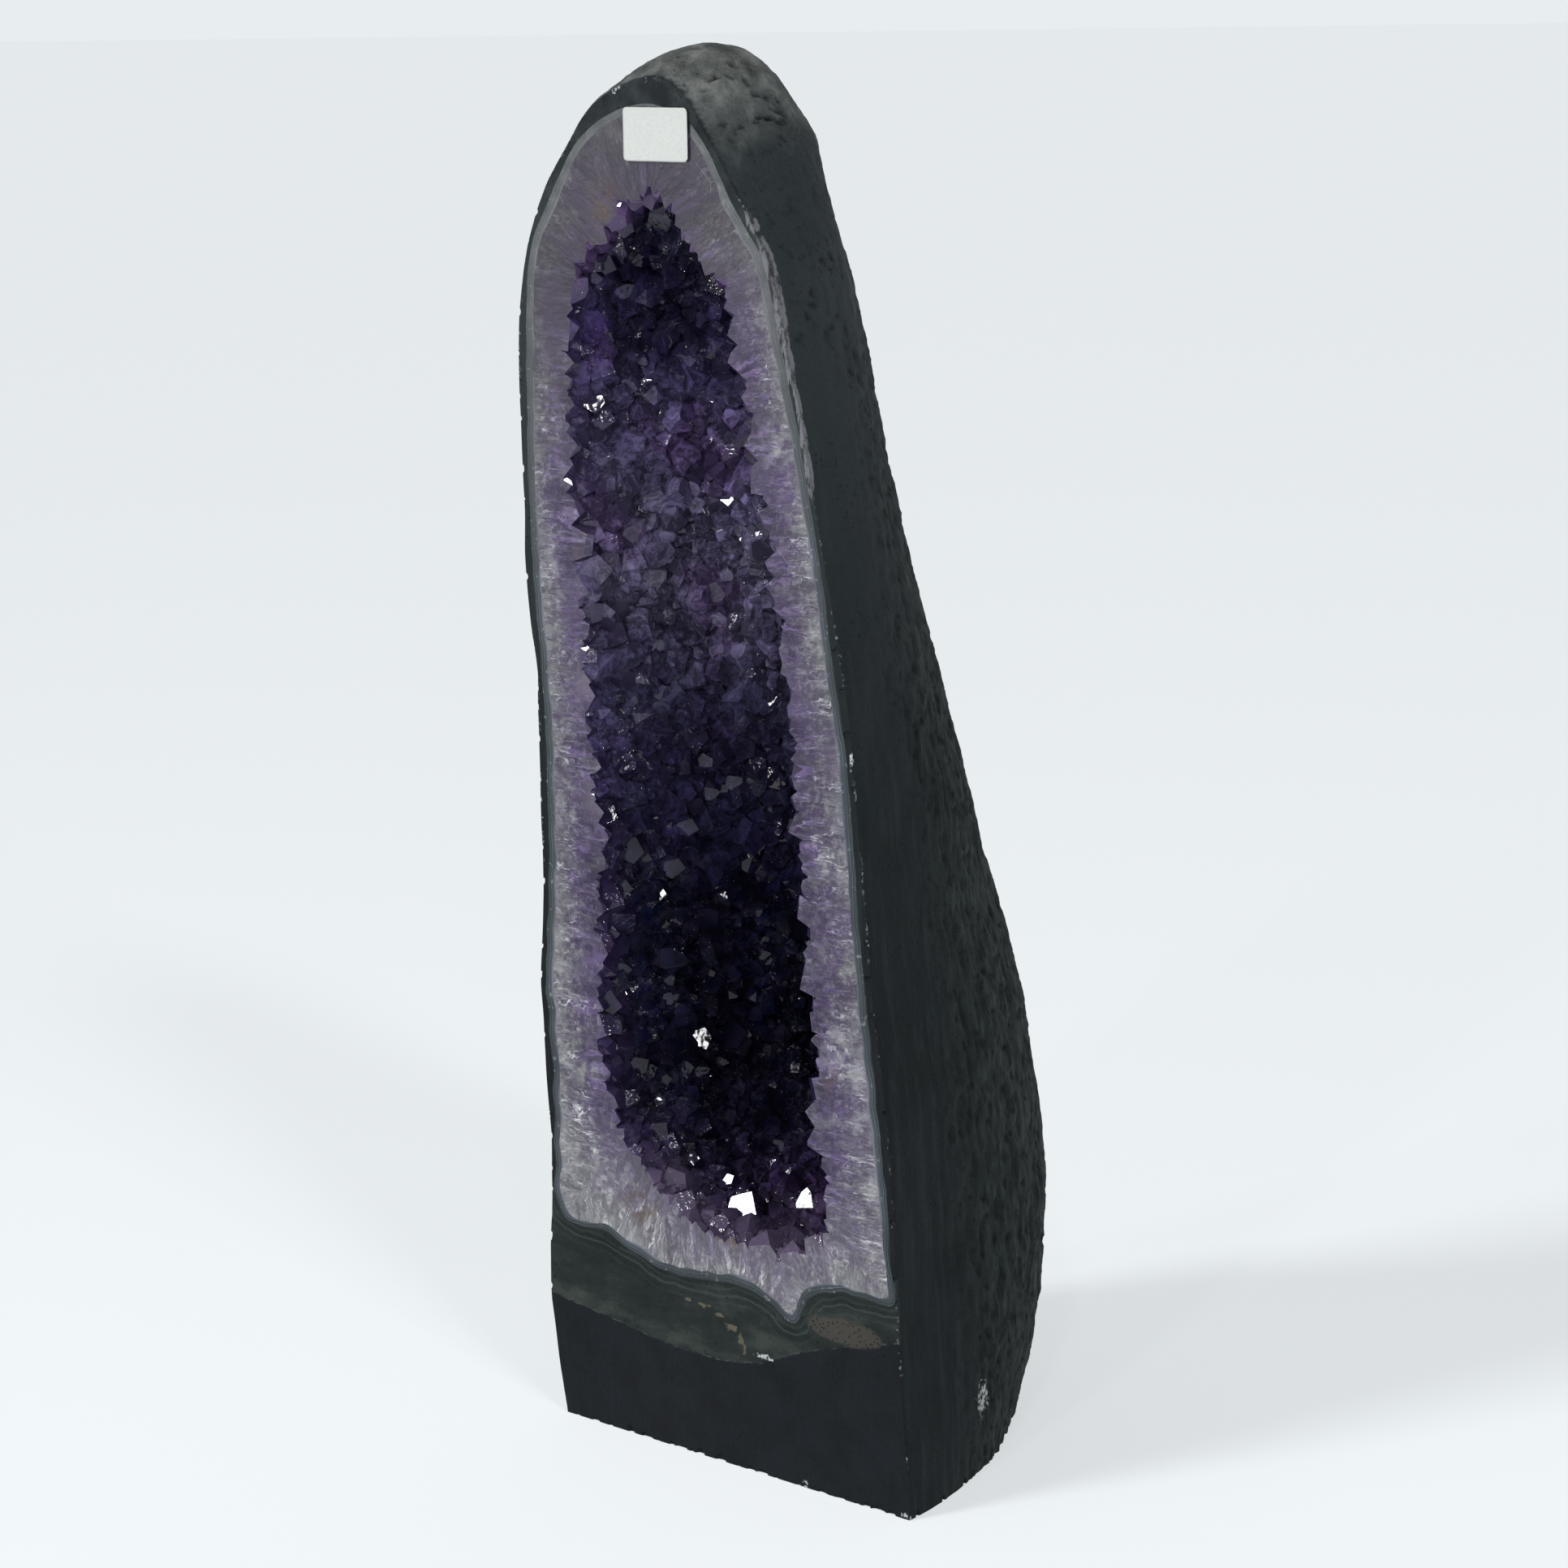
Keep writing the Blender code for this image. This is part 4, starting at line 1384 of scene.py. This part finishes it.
def colour_points(mesh, planted):
    """Marks each face with its crystal's tone, its own random value, and its place along the crystal."""
    count = len(mesh.polygons)
    centres = np.empty(count * 3, np.float32)
    mesh.polygons.foreach_get("center", centres)
    owner, plane, owned = face_owners(centres.reshape(-1, 3).astype(float), planted)
    tones = np.array([point["tone"] for point in planted])
    set_attribute(mesh, "tone", np.where(owned, tones[owner], 0.35), "FACE")
    planes = len(planted[0]["template"]["planes"])
    facets = np.random.default_rng(2).random((len(planted), planes))
    facets[: len(FLASH_PLACES)] = 0.64  # these break up what they mirror
    set_attribute(mesh, "facet", np.where(owned, facets[owner, plane], 0.5), "FACE")
    feet = np.array([tuple(point["place"]) for point in planted])
    axes = np.array([tuple(point["turn"].col[2]) for point in planted])
    tops = np.array([point["radius"] * point["template"]["top"] for point in planted])
    corner_verts = np.empty(len(mesh.loops), np.int32)
    mesh.loops.foreach_get("vertex_index", corner_verts)
    totals = np.empty(count, np.int32)
    mesh.polygons.foreach_get("loop_total", totals)
    corner_owner = np.repeat(owner, totals)
    corner_points = points_of(mesh)[corner_verts]
    rise = ((corner_points - feet[corner_owner]) * axes[corner_owner]).sum(axis=1)
    growth = np.clip(rise / tops[corner_owner], 0, 1)
    set_attribute(mesh, "growth", np.where(np.repeat(owned, totals), growth, 0.1), "CORNER")


def mark_sawn_quartz(mesh, points):
    """Sets what the sawn quartz's material reads."""
    inward, around, total = rim_places(points, pocket_rim)
    turn = 2 * math.pi * around
    radius = total / (2 * math.pi)
    grain = [radius * np.cos(turn), radius * np.sin(turn), inward]
    set_vector_attribute(mesh, "grain", np.stack(grain, 1))
    rim = [(point.x, point.z) for point in cavity_rim]
    inside = inside_segments(points[:, [0, 2]], list(zip(rim, rim[1:] + rim[:1])))
    to_cavity, _, _ = rim_places(points, cavity_rim)
    signed = np.where(inside, -to_cavity, to_cavity)
    set_attribute(mesh, "share", np.clip(inward / np.maximum(inward + signed, 1 * MM), 0, 1))
    set_attribute(mesh, "rust", near_spots(points, RUST))
    set_attribute(mesh, "bulge", near_spots(points, BULGES))


def build_druse(crystals):
    """The quartz lining with the small points that grow on it, as one body."""
    seats = ("UNION", seat_fills(crystals))
    lining = combined(lining_plug, [("DIFFERENCE", cavity_plug), seats])
    planted = plant_points(lining, crystals)
    body = add_piece("druse_body", lining)
    helpers.append(body)
    steps = []
    for k, group in enumerate(grouped(planted)):
        steps.append(("UNION", points_helper(f"points_{k}", group)))
    mesh = combined(body, steps + [("DIFFERENCE", front_cutter)])
    refill_mesh(mesh, QUARTZ_SPACING)
    mesh.materials.clear()
    mesh.materials.append(quartz_looks())
    mesh.materials.append(amethyst_material)
    points = points_of(mesh)
    mark_sawn_quartz(mesh, points)
    colour_points(mesh, planted)
    on_front = np.abs(points[:, 1] - FACE_Y) < WELD
    sawn = np.array([on_front[list(face.vertices)].all() for face in mesh.polygons])
    mesh.polygons.foreach_set("material_index", np.where(sawn, 0, 1).astype(np.int32))
    mesh.polygons.foreach_set("use_smooth", np.zeros(len(mesh.polygons), bool))
    mesh.update()
    finish_piece(add_piece("quartz_druse", mesh), "quartz", "quartz_lining")


def build_large_points(crystals):
    picker = random.Random(31)
    for name, foot, axis, radius, length in crystals:
        template = point_template(picker)
        wide = radius * 1.06
        scale = Matrix.Diagonal((wide, wide, length / (template["top"] + POINT_FOOT)))
        turn = crystal_frame(axis, picker.uniform(0, math.pi / 3))
        lift = Vector((0, 0, POINT_FOOT))
        bm = mesh_of([scale @ (point + lift) for point in template["points"]], template["faces"])
        bmesh.ops.bevel(
            bm, geom=bm.edges[:], offset=0.10 * MM, segments=1, affect="EDGES", clamp_overlap=True
        )
        for vert in bm.verts:
            vert.co = foot + turn @ vert.co
        bmesh.ops.recalc_face_normals(bm, faces=bm.faces)
        mesh = bpy.data.meshes.new(name)
        bm.to_mesh(mesh)
        bm.free()
        count = len(mesh.polygons)
        set_attribute(mesh, "tone", np.full(count, picker.random()), "FACE")
        set_attribute(mesh, "facet", [picker.random() for _ in range(count)], "FACE")
        along = (points_of(mesh) - np.array(tuple(foot))) @ np.array(tuple(axis))
        set_attribute(mesh, "growth", np.clip((along - SEAT_DEPTH) / (length - SEAT_DEPTH), 0, 1))
        mesh.materials.append(amethyst_material)
        finish_piece(add_piece(name.replace("crystal", "point"), mesh), "amethyst", name)


# The label


def build_label():
    """A blank paper label with rounded corners, its edges lifting slightly off the stone."""
    low, high = (Vector(corner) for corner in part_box("paper_label"))
    middle = (low + high) / 2
    width, height = high.x - low.x, high.z - low.z
    corner = 1.8 * MM
    columns, rows = 40, 26
    bm = bmesh.new()
    grid = []
    for row in range(rows + 1):
        line = []
        for column in range(columns + 1):
            u = -1 + 2 * column / columns
            v = -1 + 2 * row / rows
            x, z = rounded(u, v, width, height, corner)
            curl = 0.30 * MM * (abs(u) ** 5 + 0.6 * abs(v) ** 5)
            lift = curl + 0.10 * MM * noise.noise(Vector((x, 0, z)) / (9 * MM))
            line.append(bm.verts.new((middle.x + x, high.y - 0.35 * MM - lift, middle.z + z)))
        grid.append(line)
    for lower, upper in zip(grid, grid[1:]):
        for k in range(columns):
            bm.faces.new((lower[k], lower[k + 1], upper[k + 1], upper[k]))
    mesh = bpy.data.meshes.new("label_sheet")
    bm.to_mesh(mesh)
    bm.free()
    label = add_piece("label_sheet", mesh)
    thick = label.modifiers.new("paper", "SOLIDIFY")
    thick.thickness = 0.16 * MM
    thick.offset = 0
    mesh.shade_smooth()
    mesh.materials.append(paper_looks())
    finish_piece(label, "paper", "paper_label")


def rounded(u, v, width, height, corner):
    """A point of the unit square moved into a rectangle with rounded corners."""
    x = u * width / 2
    z = v * height / 2
    over_x = max(abs(x) - (width / 2 - corner), 0)
    over_z = max(abs(z) - (height / 2 - corner), 0)
    reach = max(over_x, over_z)
    far = math.hypot(over_x, over_z)
    if far > reach > 0 and over_x and over_z:
        x = math.copysign(width / 2 - corner + over_x * reach / far, x)
        z = math.copysign(height / 2 - corner + over_z * reach / far, z)
    return x, z


# Camera, floor and light


HORIZON = (0.807, 0.847, 0.871)
OVERHEAD = 0.35  # brightness overhead over that at the horizon
FRONT = 0.22  # brightness before the geode over that behind it
BEHIND = (-0.63, 0.78, 0.0)
FLOOR_COLOUR = (0.40, 0.42, 0.435)
FLOOR_GLOW = (0.520, 0.540, 0.548)
LENS = 81.52  # in millimetres
CAMERA_AZIMUTH = math.radians(39.0)
CAMERA_PITCH = math.radians(12.6)  # downwards
CAMERA_ROLL = math.radians(0.7)
LAMPS = (  # small bright lamps that glint in the facets, as (place, size, power)
    ((0.3, -1.9, 1.5), (0.12, 0.22), 5),
    ((-0.6, -1.9, 0.9), (0.14, 0.14), 5),
    ((1.3, -1.4, 0.30), (0.12, 0.12), 4),
    ((1.7, -0.6, 1.1), (0.12, 0.20), 5),
    ((-1.2, -1.5, 0.4), (0.12, 0.12), 4),
    ((0.9, -1.6, 2.2), (0.12, 0.25), 6),
)


def aim(obj, place, forward, roll=0.0):
    """Puts an object at a place so that its -z axis looks along forward."""
    right = forward.cross(Vector((0, 0, 1))).normalized()
    up = right.cross(forward)
    turned_right = right * math.cos(roll) - up * math.sin(roll)
    turned_up = up * math.cos(roll) + right * math.sin(roll)
    turn = Matrix((turned_right, turned_up, -forward)).transposed()
    obj.matrix_world = Matrix.Translation(place) @ turn.to_4x4()


def build_camera():
    data = bpy.data.cameras.new("camera")
    data.sensor_width = 36
    data.lens = LENS
    data.clip_end = 50
    camera = bpy.data.objects.new("camera", data)
    bpy.context.scene.collection.objects.link(camera)
    level = Vector((-math.sin(CAMERA_AZIMUTH), math.cos(CAMERA_AZIMUTH), 0))
    forward = level * math.cos(CAMERA_PITCH) - Vector((0, 0, math.sin(CAMERA_PITCH)))
    aim(camera, CAMERA_PLACE, forward, CAMERA_ROLL)
    bpy.context.scene.camera = camera


def build_floor():
    bm = bmesh.new()
    bmesh.ops.create_grid(bm, x_segments=8, y_segments=8, size=500)
    mesh = bpy.data.meshes.new("floor")
    bm.to_mesh(mesh)
    bm.free()
    look = Looks("floor_paper")
    darker = [0.995 * part for part in FLOOR_COLOUR]
    look.colour = look.ramp(look.noise(0.8, detail=2), (0.3, FLOOR_COLOUR), (0.7, darker))
    look.finish(roughness=0.9, specular=0.0)
    look.set("Emission Color", FLOOR_GLOW)
    look.set("Emission Strength", 1.0)
    mesh.materials.append(look.material)
    floor = add_piece("floor", mesh)
    floor.location = (0, 0, -0.2 * MM)


def add_light(name, kind, place, power, **settings):
    """A light at a place that shines on the middle of the geode."""
    data = bpy.data.lights.new(name, kind)
    data.energy = power
    for setting, value in settings.items():
        setattr(data, setting, value)
    light = bpy.data.objects.new(name, data)
    bpy.context.scene.collection.objects.link(light)
    light.visible_camera = False
    aim(light, Vector(place), (LIT_MIDDLE - Vector(place)).normalized())


def build_world():
    """A studio that is pale near the horizon and dimmer overhead."""
    world = bpy.data.worlds.new("studio")
    world.use_nodes = True
    tree = world.node_tree
    direction = tree.nodes.new("ShaderNodeTexCoord").outputs["Generated"]
    split = tree.nodes.new("ShaderNodeSeparateXYZ")
    tree.links.new(direction, split.inputs[0])
    ramp = tree.nodes.new("ShaderNodeValToRGB")
    tree.links.new(split.outputs["Z"], ramp.inputs[0])
    low, high = ramp.color_ramp.elements
    low.position, high.position = 0.20, 0.50
    low.color = (*HORIZON, 1)
    high.color = (*[OVERHEAD * part for part in HORIZON], 1)
    behind = tree.nodes.new("ShaderNodeVectorMath")
    behind.operation = "DOT_PRODUCT"
    tree.links.new(direction, behind.inputs[0])
    behind.inputs[1].default_value = BEHIND
    dimming = tree.nodes.new("ShaderNodeMapRange")
    tree.links.new(behind.outputs["Value"], dimming.inputs["Value"])
    dimming.inputs["From Min"].default_value = -0.1
    dimming.inputs["From Max"].default_value = 0.5
    dimming.inputs["To Min"].default_value = FRONT
    tree.links.new(ramp.outputs["Color"], tree.nodes["Background"].inputs["Color"])
    tree.links.new(dimming.outputs["Result"], tree.nodes["Background"].inputs["Strength"])
    bpy.context.scene.world = world


def build_light():
    build_world()
    add_light("key", "SUN", KEY_PLACE, 1.60, angle=math.radians(10))
    add_light("fill", "SUN", (2.0, -1.0, 1.8), 0.70, angle=math.radians(9))
    for number, (place, (wide, tall), power) in enumerate(LAMPS):
        add_light(f"lamp_{number}", "AREA", place, power, shape="RECTANGLE", size=wide, size_y=tall)


def main():
    build_camera()
    build_floor()
    build_light()
    crystals = cad_crystals()
    build_stone()
    build_agate()
    build_druse(crystals)
    build_large_points(crystals)
    build_label()
    for helper in helpers:
        bpy.data.objects.remove(helper)
    bpy.context.scene.view_settings.view_transform = "Standard"


amethyst_material = amethyst_looks()
main()
